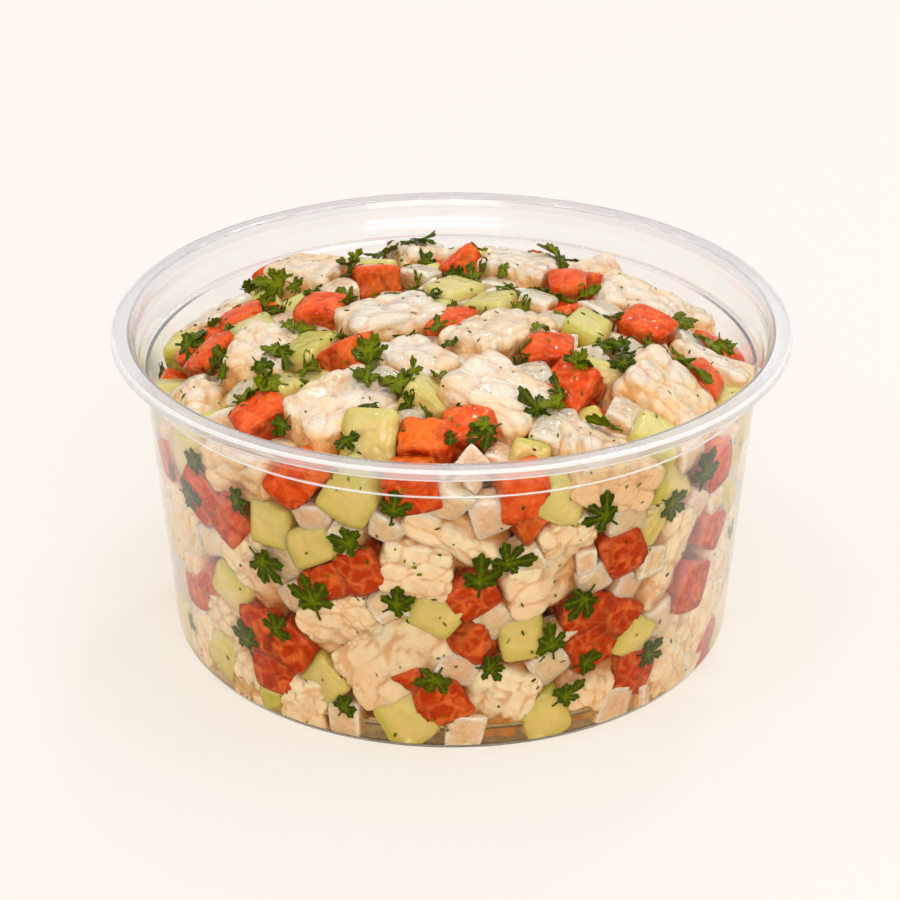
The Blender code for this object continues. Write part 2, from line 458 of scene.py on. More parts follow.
# the third finish is a painted highlight: whiter, cloudier plastic on the flange's edges, the lip's foot and
# the step's ridge
plastics = [clear_plastic("clear polypropylene, thermoformed", "fcfcfc", 1.0, 0.13, 0.12),
            clear_plastic("clear polypropylene, pressed flange", "eeeef1", 0.76, 0.2, 0.03),
            clear_plastic("polypropylene with painted rim highlight", "ffffff", 0.35, 0.3, 0.03)]
cup = turned("clear_cup", section, SEGMENTS, plastics[0])
for plastic in plastics[1:]:
    cup.data.materials.append(plastic)
for face in cup.data.polygons:
    face.material_index = finish_there(face.center.xy.length, face.center.z)
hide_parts("cup")
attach(cup, "root")
print("the cup has", triangles(cup), "triangles")

# %% [markdown]
# ## How a chunk of food is shaped
#
# Diced food is never a cube: the knife leaves skewed blocks with soft edges. Each chunk starts as a cube
# cut into a fine grid, is pulled towards a rounded block, and has its eight corners moved at random. A
# Voronoi pattern of points on its skin can then swell it into knobs, which is how fish flakes bulge apart
# when the acid firms them. Sculpting would do the same by hand, but here one function makes every kind.

# %% The block that all dice start from
grids = {}


def soft_step(values, low, high):
    """0 below low, 1 above high, and a smooth rise between."""
    share = np.clip((values - low) / (high - low), 0, 1)
    return share * share * (3 - 2 * share)


def cube_grid(cuts):
    """The corner points and the quads of a cube from -1 to 1 with each side cut into a grid."""
    if cuts not in grids:
        shape = bmesh.new()
        bmesh.ops.create_cube(shape, size=2.0)
        bmesh.ops.subdivide_edges(shape, edges=shape.edges, cuts=cuts - 1, use_grid_fill=True)
        shape.verts.index_update()
        points = np.array([v.co for v in shape.verts])
        quads = [[v.index for v in face.verts] for face in shape.faces]
        shape.free()
        grids[cuts] = (points, quads)
    return grids[cuts]


def block(cuts, half_size, squareness, skew, draw):
    """A skewed block with soft edges: its points in metres, the way out from each, its quads, and the
    points before they were skewed and stretched."""
    cube, quads = cube_grid(cuts)
    reach = (np.abs(cube) ** squareness).sum(axis=1, keepdims=True) ** (1 / squareness)
    soft = cube / reach
    outward = np.sign(soft) * np.abs(soft) ** (squareness - 1) / half_size
    outward /= np.linalg.norm(outward, axis=1, keepdims=True)
    shifted = soft.copy()
    for corner in np.array(np.meshgrid([-1, 1], [-1, 1], [-1, 1])).T.reshape(-1, 3):
        weight = ((1 + soft * corner) / 2).prod(axis=1, keepdims=True)
        shifted += weight * draw.uniform(-skew, skew, 3)
    return shifted * half_size, outward, quads, soft


def knobs(points, count, spread, draw):
    """For each point, its distance from the nearest knob, and how much further off the next knob is."""
    middles = points[draw.choice(len(points), count, replace=False)]
    for _ in range(2):
        nearest = np.linalg.norm(points[:, None] - middles, axis=2).argmin(axis=1)
        middles = np.array([points[nearest == i].mean(axis=0) if (nearest == i).any() else middles[i]
                            for i in range(count)])
    middles = middles + draw.normal(0, spread, middles.shape)
    head_start = draw.uniform(0, 0.8 * MM, count)
    distance = np.sort(np.linalg.norm(points[:, None] - middles, axis=2) - head_start, axis=1)
    return distance[:, 0], distance[:, 1] - distance[:, 0]


def near_edge(soft):
    """How near each point of a block is to one of its edges, from 0 to 1."""
    return soft_step(np.sort(np.abs(soft), axis=1)[:, 1], 0.55, 0.95)


def write_mark(mesh, title, values):
    """Writes a number for each point of a mesh, which a material or a tree reads by its title."""
    mark = mesh.attributes.new(title, "FLOAT", "POINT")
    mark.data.foreach_set("value", np.ascontiguousarray(values, dtype=np.float32).ravel())


def as_mesh(name, points, quads, **marks):
    """A smooth mesh from points and quads, with a number for each point under each mark's name."""
    mesh = bpy.data.meshes.new(name)
    mesh.from_pydata(points.tolist(), [], quads)
    mesh.shade_smooth()
    for title, values in marks.items():
        write_mark(mesh, title, values)
    return mesh


print("a cube with each side cut in 15 has", 2 * len(cube_grid(15)[1]), "triangles")

# %% [markdown]
# ## The four kinds of dice
#
# Fish is cut largest, about 17 mm long, and swells into knobs 3 or 4 mm wide. Tomato keeps sharp cut edges
# and one round side of skin. Cucumber is soft-edged. Onion is the smallest, and each dice is a bowed slice
# of one layer. Eight forms of each kind are enough, since every dice is also stretched and turned on its
# own.

# %% Forms of each kind
FORMS = 8
FISH_HALF = np.array([8.3, 6.6, 5.2]) * MM
TOMATO_HALF = np.array([4.1, 3.9, 3.6]) * MM
CUCUMBER_HALF = np.array([4.4, 4.2, 3.9]) * MM
ONION_HALF = np.array([3.2, 2.9, 2.1]) * MM


def fish_form(draw, cuts):
    """A chunk of fish: a block swollen into knobs, with creases between them."""
    points, outward, quads, soft = block(cuts, FISH_HALF, 7.5, 0.17, draw)
    middle, gap = knobs(points * np.array([0.7, 1.0, 1.0]), 46, 0.7 * MM, draw)
    valley = 1 - soft_step(gap, 0.0, 1.1 * MM)
    swell = 0.45 * MM * (1 - soft_step(middle, 0.0, 2.8 * MM))
    moved = points + outward * (swell - 0.38 * MM * valley)[:, None]
    return as_mesh("fish", moved, quads, crease=valley)


def tomato_form(draw, cuts):
    """A dice of tomato: sharp edges, dented cut sides, and one bulging side of skin."""
    points, outward, quads, soft = block(cuts, TOMATO_HALF, 9, 0.2, draw)
    skin = soft_step(soft[:, 2], 0.72, 0.9)
    middle, gap = knobs(points, 13, 0.8 * MM, draw)
    dent = 0.4 * MM * soft_step(gap, 0.0, 2.4 * MM) * (1 - skin)
    bulge = 0.7 * MM * skin * (1 - (soft[:, 0] ** 2 + soft[:, 1] ** 2) / 2)
    return as_mesh("tomato", points + outward * (bulge - dent)[:, None], quads, skin=skin,
                   edge=near_edge(soft))


def cucumber_form(draw, cuts):
    """A dice of cucumber: a soft-edged block, with one side next to the peel."""
    points, _, quads, soft = block(cuts, CUCUMBER_HALF, 8, 0.16, draw)
    skin = soft_step(soft[:, 0], 0.6, 0.95)
    return as_mesh("cucumber", points, quads, skin=skin, edge=near_edge(soft))


def onion_form(draw, cuts):
    """A dice of onion: a thin block bowed like the layer it was cut from."""
    points, _, quads, soft = block(cuts, ONION_HALF, 9, 0.22, draw)
    points[:, 2] -= 0.5 * MM * soft[:, 0] ** 2
    return as_mesh("onion", points, quads, edge=near_edge(soft))


def forms_of(title, make, seed, *sizes):
    """A hidden collection with the forms of one kind."""
    draw = np.random.default_rng(seed)
    group = bpy.data.collections.new(title)
    for i in range(FORMS):
        group.objects.link(bpy.data.objects.new(f"{title}_{i}", make(draw, *sizes)))
    return group


KINDS = ("fish", "tomato", "cucumber", "onion")
HALF_SIZES = dict(zip(KINDS, (FISH_HALF, TOMATO_HALF, CUCUMBER_HALF, ONION_HALF)))
CUTS = dict(zip(KINDS, (15, 9, 8, 6)))  # of each side of the cube that a form starts from
MAKERS = dict(zip(KINDS, (fish_form, tomato_form, cucumber_form, onion_form)))
forms = {kind: forms_of(kind + "_form", MAKERS[kind], 3 + i, CUTS[kind]) for i, kind in enumerate(KINDS)}

# %% [markdown]
# ## Where the dice lie
#
# A tub of ceviche is filled by the spoonful and shaken level, so the dice lie at every angle, packed
# against the wall and domed in the middle. What shows is listed one by one, as a cook arranges the front of
# a dish: along the wall each dice is given by the angle round the cup, counted from the front towards the
# right, and its height; on top by its distance right of and behind the middle. Fish chunks also have a
# turn and a size. Everything out of sight is thrown in at random, always from the same seed.

# %% Dice listed one by one, in degrees and millimetres
# along the wall: angle, height, turn, length, width
FISH_AT_WALL = [
    (-43, 45, -15, 16, 10), (1, 41, -22, 18, 13), (-7, 34, 10, 12, 10), (-22, 23, 20, 15, 12),
    (-12, 16, 22, 19, 14), (-40, 26, -58, 17, 11), (-49, 16, 60, 11, 9), (-31, 6, 0, 10, 9),
    (-45, 5, 70, 10, 8), (20, 31, 38, 19, 12), (21, 40, 0, 10, 8), (47, 27, 68, 19, 12),
    (10, 9, 40, 17, 13), (28, 9, 75, 14, 10), (49, 10, 78, 16, 10), (-63, 27, 85, 18, 11),
    (59, 12, 80, 14, 10), (-60, 8, 40, 12, 10), (66, 22, 80, 15, 11), (-77, 36, 60, 17, 12),
    (80, 38, 50, 16, 12), (-76, 14, 20, 15, 12), (78, 10, 30, 15, 11),
]
TOMATO_AT_WALL = [
    (-30, 47), (-46, 35), (-24, 31), (-17, 33), (-40, 17), (-33, 15), (-39, 7), (-1, 9), (-3, 49),
    (12, 47), (33, 34), (4, 29), (4, 20), (26, 24), (32, 20), (28, 17), (38, 8), (59, 41), (59, 29),
    (54, 20), (62, 5), (-69, 42), (-60, 17), (-54, 39), (84, 25), (-85, 24),
]
CUCUMBER_AT_WALL = [
    (-18, 46), (-34, 38), (-27, 35), (-3, 27), (-51, 8), (-47, 21), (-26, 11), (-9, 6), (21, 45),
    (13, 21), (37, 17), (44, 44), (19, 6), (-61, 43), (69, 33), (40, 38), (73, 46), (-72, 5),
]
ONION_AT_WALL = [
    (-26, 42), (-12, 42), (34, 41), (7, 26), (0, 17), (28, 30), (18, 14), (36, 25), (-31, 32),
    (-30, 26), (-2, 47), (7, 44), (-52, 29), (53, 36), (-21, 4), (3, 4), (34, 4), (44, 17),
]
# on top: right, back, turn, length, width
FISH_ON_TOP = [
    (-31, -11, 75, 15, 12), (-43, -19, 20, 12, 9), (-11, -3, 20, 18, 13), (-5, -21, -15, 14, 11),
    (-18, -32, 32, 17, 13), (8, -32, -40, 17, 15), (8, -11, 48, 18, 12), (12, 25, -10, 14, 12),
    (33, 13, -25, 17, 12), (44, -5, -60, 15, 11), (34, -23, -12, 17, 14), (-26, 22, -20, 13, 11),
    (23, -41, -10, 16, 13), (-6, 38, 0, 14, 11), (25, 32, 30, 14, 11), (-40, 20, 60, 14, 11),
    (-22, 42, 40, 14, 11), (10, 47, 0, 13, 10), (44, 22, 60, 14, 10),
]
TOMATO_ON_TOP = [
    (-14, 17), (2, 28), (-36, 8), (-43, 3), (-40, -5), (-22, 1), (-17, -17), (0, -5), (-30, -32),
    (-4, -41), (4, -38), (16, -17), (20, -25), (21, 16), (27, 22), (33, -1), (43, -14), (46, 8),
    (-32, 34), (18, 38), (-8, 47), (37, 31),
]
CUCUMBER_ON_TOP = [
    (-48, -7), (-23, -14), (-13, -39), (-4, -31), (7, 5), (0, 12), (24, -21), (22, -6), (-34, 1),
    (-46, 12), (-14, 32), (36, 40), (2, 40), (31, -34), (-30, -24), (48, 15),
]
ONION_ON_TOP = [
    (-6, 22), (-28, 3), (-37, -27), (-32, -23), (-4, -12), (-6, -37), (30, -12), (29, -31), (17, -4),
    (-9, 8), (15, 6), (26, 5), (-25, -6), (13, -25), (-20, 12), (-12, -26), (38, -33), (-38, 27),
    (16, -38), (3, -20), (24, 28), (-44, -12), (8, 18), (40, 4),
]
print("laid by hand:", len(FISH_AT_WALL) + len(FISH_ON_TOP), "chunks of fish and",
      sum(map(len, (TOMATO_AT_WALL, CUCUMBER_AT_WALL, ONION_AT_WALL,
                    TOMATO_ON_TOP, CUCUMBER_ON_TOP, ONION_ON_TOP))), "other dice")

# %% [markdown]
# ## Turning the list into placed dice
#
# Each dice needs a middle, a turn and a stretch. At the wall its flat side faces the plastic; on top it
# lies on the dome. Its turn is kept as a matrix whose columns are its own length, width and thickness.

# %% The dome and the first placing
DOME_EDGE = heap_high[2] - 14.0 * MM
DOME_CROWN = 12.0 * MM
DOME_FRONT = 3.0 * MM  # it was spooned in from the front, so its edge is higher there
DOME_TILT = 0.085  # it falls away behind the middle
DOME_SIDES = 4.5 * MM  # and towards the left and the right
LUMP_PLACE = (-27 * MM, 28 * MM)  # the last spoonful left a lump at the back left
LUMP_HEIGHT, LUMP_WIDTH = 2.8 * MM, 9 * MM
BED = WALL + 0.1 * MM  # the lowest that a dice may reach
HAND_HOLD = 0.12  # how firmly a listed dice keeps its place, where 1 is not to move
layout = np.random.default_rng(21)


def dome_height(right, back):
    """The height of the heap's surface right of and behind the cup's middle."""
    radius = RADIUS_UNDER_STEP - WALL
    share = np.hypot(right, back) / radius
    forward = np.maximum(0, -back) / radius
    aside = np.abs(right) / radius
    edge = DOME_EDGE + DOME_FRONT * forward**2 - DOME_SIDES * aside**3 * (1 - forward)
    from_lump = np.hypot(right - LUMP_PLACE[0], back - LUMP_PLACE[1])
    lump = LUMP_HEIGHT * np.exp(-0.5 * (from_lump / LUMP_WIDTH) ** 2)
    return edge + DOME_CROWN * (1 - share**4) - DOME_TILT * np.maximum(0, back) + lump


def turned_about(axis, angle):
    """The matrix of a turn about an axis."""
    return np.array(Matrix.Rotation(angle, 3, Vector(axis)))


def facing(outward, along, turn):
    """A turn that points a dice's thickness outward and its length at an angle from a direction."""
    outward = outward / np.linalg.norm(outward)
    across = np.cross(outward, along)
    across /= np.linalg.norm(across)
    along = np.cross(across, outward)
    length = math.cos(turn) * along + math.sin(turn) * across
    return np.stack([length, np.cross(outward, length), outward], axis=1)


def small_tilt(degrees):
    """A small turn about a random axis."""
    return turned_about(layout.normal(size=3), math.radians(layout.uniform(-degrees, degrees)))


def towards_wall(angle):
    """The directions straight out to the wall and along it, for an angle round the cup."""
    return (np.array([math.sin(angle), -math.cos(angle), 0.0]),
            np.array([math.cos(angle), math.sin(angle), 0.0]))


def half_size(kind, size, thickness):
    """Half a dice's size: drawn at random, or from a length and a width with a thickness drawn."""
    half = HALF_SIZES[kind] * layout.uniform(0.88, 1.12, 3)
    if size:
        half = np.array([size[0] / 2 * MM, size[1] / 2 * MM, FISH_HALF[2] * layout.uniform(*thickness)])
    return half


def at_wall(kind, angle, height, turn=None, size=None):
    """A dice at the wall: its kind, middle, turn, half size and how firmly it keeps its place.

    The angle and a given turn are in degrees, and the height and a given size in millimetres."""
    angle, height = math.radians(angle), height * MM
    outward, along = towards_wall(angle)
    half = half_size(kind, size, (0.85, 1.05))
    middle = outward * (float(inner_radius(height)) - half[2])
    middle[2] = height
    turn = layout.uniform(0, math.tau) if turn is None else math.radians(turn)
    tilt = small_tilt(8 if size else 14)
    return kind, middle, tilt @ facing(outward, along, turn), half, HAND_HOLD


def on_top(kind, right, back, turn=None, size=None):
    """A dice on the dome."""
    right, back = right * MM, back * MM
    half = half_size(kind, size, (0.9, 1.1))
    height = float(dome_height(right, back))
    slopes = [height - dome_height(right + MM, back), height - dome_height(right, back + MM)]
    outward = np.array([slopes[0] / MM, slopes[1] / MM, 1.0])
    turn = layout.uniform(0, math.tau) if turn is None else math.radians(turn)
    tilt = small_tilt(14 if size else 35)
    middle = np.array([right, back, height - 0.6 * half[2]])
    return kind, middle, tilt @ facing(outward, np.array([1.0, 0, 0]), turn), half, HAND_HOLD


placed = [at_wall("fish", angle, height, turn, size) for angle, height, turn, *size in FISH_AT_WALL]
placed += [on_top("fish", right, back, turn, size) for right, back, turn, *size in FISH_ON_TOP]
for kind, spots in (("tomato", TOMATO_AT_WALL), ("cucumber", CUCUMBER_AT_WALL), ("onion", ONION_AT_WALL)):
    placed += [at_wall(kind, *spot) for spot in spots]
for kind, spots in (("tomato", TOMATO_ON_TOP), ("cucumber", CUCUMBER_ON_TOP), ("onion", ONION_ON_TOP)):
    placed += [on_top(kind, *spot) for spot in spots]
print("placed by hand:", len(placed))

# %% [markdown]
# ## Filling the rest of the cup
#
# Darts are thrown into the outer layer of the heap, behind what was listed and all round the back.
# A dart that lands clear of its neighbours becomes a dice. The fish goes in first, because large chunks
# need large gaps, and the onion last. The middle of the heap can't be seen, so a plain core fills it.

# %% Throw in the dice that nobody arranged
SHELL = 11 * MM  # how deep the darts reach behind the wall and under the dome
# each kind's darts, and how close two dice may lie as a share of their balls' radii
DARTS = (("fish", 2500, 0.84), ("tomato", 1600, 0.84), ("cucumber", 2000, 0.82), ("onion", 1200, 0.94))
BALL_TO_SIDE = 1.05  # a ball's radius against the mean of a dice's three half sides


def mean_radius(half):
    """The radius of a ball about as large as a dice."""
    return BALL_TO_SIDE * float(np.prod(half)) ** (1 / 3)


def throw(kind, tries, closeness, dice):
    """Adds dice of a kind wherever a dart lands clear of the dice that are there."""
    middles = [d[1] for d in dice]
    radii = [mean_radius(d[3]) for d in dice]
    for _ in range(tries):
        half = HALF_SIZES[kind] * layout.uniform(0.82, 1.1, 3)
        radius = mean_radius(half)
        angle = layout.uniform(0, math.tau)
        distance = float(inner_radius(STEP_HEIGHT)) * math.sqrt(layout.uniform(0.05, 1))
        right, back = distance * math.sin(angle), -distance * math.cos(angle)
        top = float(dome_height(right, back))
        height = layout.uniform(BED, top)
        reach = float(inner_radius(height)) - distance
        buried = min(reach, top - height)
        in_cup = reach >= 0.85 * radius and height - BED >= 0.8 * radius and top - height > 0.55 * radius
        if not in_cup or buried > SHELL:
            continue
        middle = np.array([right, back, height])
        gaps = np.linalg.norm(np.array(middles) - middle, axis=1)
        if (gaps < closeness * (np.array(radii) + radius)).any():
            continue
        if reach < 1.4 * radius and reach < top - height:
            turn = small_tilt(15) @ facing(*towards_wall(angle), layout.uniform(0, math.tau))
        else:
            turn = turned_about(layout.normal(size=3), layout.uniform(0, math.tau))
        dice.append((kind, middle, turn, half, 0.0))
        middles.append(middle)
        radii.append(radius)


for kind, tries, closeness in DARTS:
    throw(kind, tries, closeness, placed)
print("dice of each kind:", {kind: sum(d[0] == kind for d in placed) for kind in KINDS})

# %% [markdown]
# ## Settling the dice
#
# Thrown dice overlap. A rigid body simulation would push them apart, but it also lets everything slump and
# loses the layout. Instead each dice is stood in for by a few balls, and a short relaxation repeats three
# steps: balls of different dice push each other apart, the cup and the dome push balls back inside, and
# each dice takes the turn and place that best fit where its balls went. Listed dice are also drawn
# gently back to their spots. Soft food gives a little, so small overlaps are left in.

# %% Balls that stand in for each dice
BALL_SHARE = 0.9  # a ball's radius as a share of half the dice's thinnest side
WALL_ROOM = 0.9 * MM  # so that only the proud parts of a dice press on the wall
TOP_PLAY = dict(zip(KINDS, ((0.8, 2.6), (-0.2, 2.8), (-0.6, 2.2), (-1.2, 1.4))))  # mm over the dome
owner, offsets, ball_radii, play = [], [], [], []
for i, (kind, _, _, half, _) in enumerate(placed):
    radius = BALL_SHARE * half.min()
    lift = layout.uniform(*TOP_PLAY[kind]) * MM
    corners = [(-1, 1) if size - radius > 0.22 * radius else (0,) for size in half]
    for corner in product(*corners):
        owner.append(i)
        offsets.append(np.array(corner) * (half * 0.97 - radius))
        ball_radii.append(radius)
        play.append(lift)
owner, offsets, ball_radii, play = [np.array(values) for values in (owner, offsets, ball_radii, play)]
print("balls:", len(owner))

# %% The relaxation
ROUNDS = 90
PAIR_ROUNDS = 6  # the list of neighbours is made anew after this many rounds
PAIR_MARGIN = 1.5 * MM
STIFFNESS = 0.4  # how strongly a dice keeps the way it is turned
PUSH, SHARING = 1.3, 0.7  # how hard balls push, and how far many pushes on one ball are averaged


def sums(groups, values, count):
    """The sum of the rows of values for each group."""
    return np.stack([np.bincount(groups, values[:, k], count) for k in range(3)], axis=1)


def settle(dice, rounds):
    """Relaxes the dice and returns their new middles and turns."""
    middles = np.array([d[1] for d in dice])
    turns = np.array([d[2] for d in dice])
    spots = middles.copy()
    hold = np.array([d[4] for d in dice])[:, None]
    count = np.bincount(owner, minlength=len(dice))[:, None]
    girth = np.bincount(owner, (offsets**2).sum(axis=1), len(dice))[:, None, None]
    stiff = STIFFNESS * girth + 1e-9
    for step in range(rounds):
        balls = middles[owner] + np.einsum("nij,nj->ni", turns[owner], offsets)
        if step % PAIR_ROUNDS == 0:
            first, second = near_pairs(balls)
        between = balls[second] - balls[first]
        distance = np.linalg.norm(between, axis=1) + 1e-9
        overlap = np.maximum(ball_radii[first] + ball_radii[second] - distance, 0)
        push = between / distance[:, None] * (0.5 * overlap)[:, None]
        hits = np.bincount(first, overlap > 0, len(balls)) + np.bincount(second, overlap > 0, len(balls))
        shift = sums(second, push, len(balls)) - sums(first, push, len(balls))
        balls += PUSH * shift / np.maximum(hits, 1)[:, None] ** SHARING
        balls += hold[owner] * (spots - middles)[owner]
        keep_inside(balls)
        middles = sums(owner, balls, len(dice)) / count
        spread = balls - middles[owner]
        fit = np.stack([sums(owner, spread * offsets[:, k:k + 1], len(dice)) for k in range(3)], axis=2)
        u, _, v = np.linalg.svd(fit + stiff * turns)
        u[:, :, 2] *= np.sign(np.linalg.det(u @ v))[:, None]
        turns = u @ v
    return middles, turns


def keep_inside(balls):
    """Moves balls back inside the wall, off the floor and, half of the way each time, under the dome."""
    distance = np.hypot(balls[:, 0], balls[:, 1])
    limit = inner_radius(balls[:, 2]) - ball_radii - WALL_ROOM
    inward = np.minimum(1, limit / np.maximum(distance, 1e-9))
    balls[:, :2] *= inward[:, None]
    balls[:, 2] = np.maximum(balls[:, 2], BED + ball_radii)
    over = balls[:, 2] + ball_radii - dome_height(balls[:, 0], balls[:, 1]) - play
    balls[:, 2] -= 0.5 * np.maximum(over, 0)


def near_pairs(balls):
    """The pairs of balls of different dice that touch or nearly do."""
    gap = np.linalg.norm(balls[:, None] - balls[None], axis=2) - ball_radii[:, None] - ball_radii[None]
    first, second = np.nonzero(np.triu(gap < PAIR_MARGIN, 1))
    apart = owner[first] != owner[second]
    return first[apart], second[apart]


# %% Run the relaxation
middles, turns = settle(placed, ROUNDS)
moved = np.linalg.norm(middles - np.array([d[1] for d in placed]), axis=1)
print("the dice moved by", round(float(moved.mean()) / MM, 1), "mm on average, at most",
      round(float(moved.max()) / MM, 1))

# %% [markdown]
# ## Bits in the gaps
#
# Where dice don't meet, a real cup has scraps: mostly bits of onion, with crumbs of tomato and cucumber. A
# net of probe points lies just behind the wall and just under the dome. Where a probe is far from every
# ball, a bit about as large as the gap goes in.

# %% Fill the gaps
PROBE_DEPTH = 2.4 * MM
PROBE_SINK = 3.6 * MM  # under the dome, where gaps stay dark
PROBE_STEP = 2.4 * MM
SMALLEST_GAP = 1.6 * MM
LARGEST_BIT = 2.6 * MM
BIT_CHANCES = (("onion", 0.56), ("tomato", 0.78), ("cucumber", 1.0))  # each kind up to its number


def ring(radius):
    """Evenly spaced places on a circle round the cup's axis, a probe's step apart."""
    count = max(1, int(math.tau * radius / PROBE_STEP))
    return [(radius * math.sin(a), -radius * math.cos(a)) for a in np.arange(count) * math.tau / count]


def probes():
    """Points just behind the wall and just under the dome."""
    net = []
    for height in np.arange(BED + PROBE_DEPTH, DOME_EDGE, PROBE_STEP):
        net += [(*place, height) for place in ring(float(inner_radius(height)) - PROBE_DEPTH)]
    for radius in np.arange(0, RADIUS_UNDER_STEP - 4 * MM, PROBE_STEP):
        net += [(*place, float(dome_height(*place)) - PROBE_SINK) for place in ring(radius)]
    net = np.array(net)
    return net[net[:, 2] < dome_height(net[:, 0], net[:, 1]) - 0.9 * PROBE_DEPTH]


def fill_gaps(dice_middles, dice_turns):
    """Bits for the gaps: a list like the one of placed dice."""
    centres = dice_middles[owner] + np.einsum("nij,nj->ni", dice_turns[owner], offsets)
    sizes = ball_radii.copy()
    bits = []
    for probe in probes():
        gap = float((np.linalg.norm(centres - probe, axis=1) - sizes).min())
        if gap < SMALLEST_GAP:
            continue
        radius = min(1.25 * gap, LARGEST_BIT)
        chance = layout.uniform()
        kind = next(name for name, share in BIT_CHANCES if chance < share)
        half = radius * layout.uniform(0.85, 1.2, 3)
        middle = probe + layout.normal(0, 0.25 * MM, 3)
        turn = turned_about(layout.normal(size=3), layout.uniform(0, math.tau))
        bits.append((kind, middle, turn, half, 0.0))
        centres = np.vstack([centres, middle])
        sizes = np.append(sizes, radius)
    return bits


bits = fill_gaps(middles, turns)
placed += bits
middles = np.vstack([middles, [bit[1] for bit in bits]])
turns = np.concatenate([turns, [bit[2] for bit in bits]])
print("bits in gaps:", len(bits), "so dice of each kind:",
      {kind: sum(d[0] == kind for d in placed) for kind in KINDS})

# %% [markdown]
# ## From places to meshes
#
# One tree makes every kind of dice. It reads a cloud of points, one for each dice, and puts a form on each:
# which form, how it is turned and how it is stretched are attributes of the points. Joining copies in a
# loop would give the same mesh, but a tree keeps the forms and the places apart, so either can change. The
# instances are made real at the end, because an exported file can't hold them. Then the food is pressed
# against the plastic, and each point is marked for how much painted shade it gets.

# %% The tree that puts a form on each point
LOADED = (5 * MM, 11 * MM)  # dice below the first height carry the others, and above the second nothing
SINK = 1.2 * MM  # how far the lowest ones sink
SINK_TOP = WALL + 3.8 * MM  # and up to what height
SQUEEZE, LOADED_SQUEEZE = 0.4 * MM, 0.8 * MM  # how far dice are pushed out, and the lowest ones more
SQUEEZE_DEPTH = 4 * MM  # behind the wall
scatter_tree, given, result = new_tree("forms on points", Points="Geometry", Forms="Collection",
                                       Material="Material")
loose = add(scatter_tree, "GeometryNodeCollectionInfo",
            {"Collection": given["Forms"], "Separate Children": True, "Reset Children": True})
which, how_turned, how_long = [
    add(scatter_tree, "GeometryNodeInputNamedAttribute", {"Name": title}, data_type=kind).outputs["Attribute"]
    for title, kind in (("form", "INT"), ("turn", "QUATERNION"), ("stretch", "FLOAT_VECTOR"))]
sown = add(scatter_tree, "GeometryNodeInstanceOnPoints", {
    "Points": given["Points"], "Instance": loose.outputs["Instances"], "Pick Instance": True,
    "Instance Index": which, "Rotation": how_turned, "Scale": how_long})
finish_tree(scatter_tree, sown.outputs["Instances"], given, result)


def scattered(name, forms, material, places, turn_matrices, stretches, picks, shades):
    """One mesh with a form on each place. Shade is a number from 0 to 1 that the material reads."""
    cloud = bpy.data.meshes.new(name + "_points")
    cloud.from_pydata(np.asarray(places).tolist(), [], [])
    quaternions = [list(Matrix(t).to_quaternion()) for t in turn_matrices]
    for title, kind, key, values in (("turn", "QUATERNION", "value", quaternions),
                                     ("stretch", "FLOAT_VECTOR", "vector", stretches),
                                     ("form", "INT", "value", picks), ("shade", "FLOAT", "value", shades)):
        mark = cloud.attributes.new(title, kind, "POINT")
        flat = np.asarray(values, dtype=np.int32 if kind == "INT" else np.float32).ravel()
        mark.data.foreach_set(key, flat)
    return grown(name, scatter_tree, cloud, Forms=forms, Material=material)


def mark_underside(obj, count):
    """Marks each point of a number of dice by how low it lies in its own: 0 at the top, 1 at the foot."""
    heights = np.array([v.co.z for v in obj.data.vertices]).reshape(count, -1)
    low, high = heights.min(axis=1, keepdims=True), heights.max(axis=1, keepdims=True)
    write_mark(obj.data, "under", (high - heights) / (high - low))


def press_to_wall(obj, reach):
    """Squeezes food near the wall and the floor against them, and flattens what would poke through."""
    points = np.empty(3 * len(obj.data.vertices), dtype=np.float32)
    obj.data.vertices.foreach_get("co", points)
    points = points.reshape(-1, 3)
    load = 1 - soft_step(points[:, 2], *LOADED)
    points[:, 2] -= SINK * load * (1 - soft_step(points[:, 2], WALL, SINK_TOP))
    points[:, 2] = np.maximum(points[:, 2], WALL - reach)
    distance = np.hypot(points[:, 0], points[:, 1])
    limit = inner_radius(points[:, 2]) + reach
    squeeze = (SQUEEZE + LOADED_SQUEEZE * load) * (1 - soft_step(limit - distance, 0.0, SQUEEZE_DEPTH))
    pressed = np.minimum(limit, distance + squeeze)
    points[:, :2] *= (pressed / np.maximum(distance, 1e-9))[:, None]
    obj.data.vertices.foreach_set("co", points.ravel())
    obj.data.update()


print("nodes in the scatter tree:", len(scatter_tree.nodes))

# %% Where painted shade falls on the food
ROOF_CELL = 2.0 * MM  # the columns in which the highest food is looked up
SHADED_DEPTH = (0.15 * MM, 2.6 * MM)  # no painted shade above the first depth, full painted shade below the second
LOW_IN_CUP = (-3 * MM, 12 * MM)  # under the dome's edge


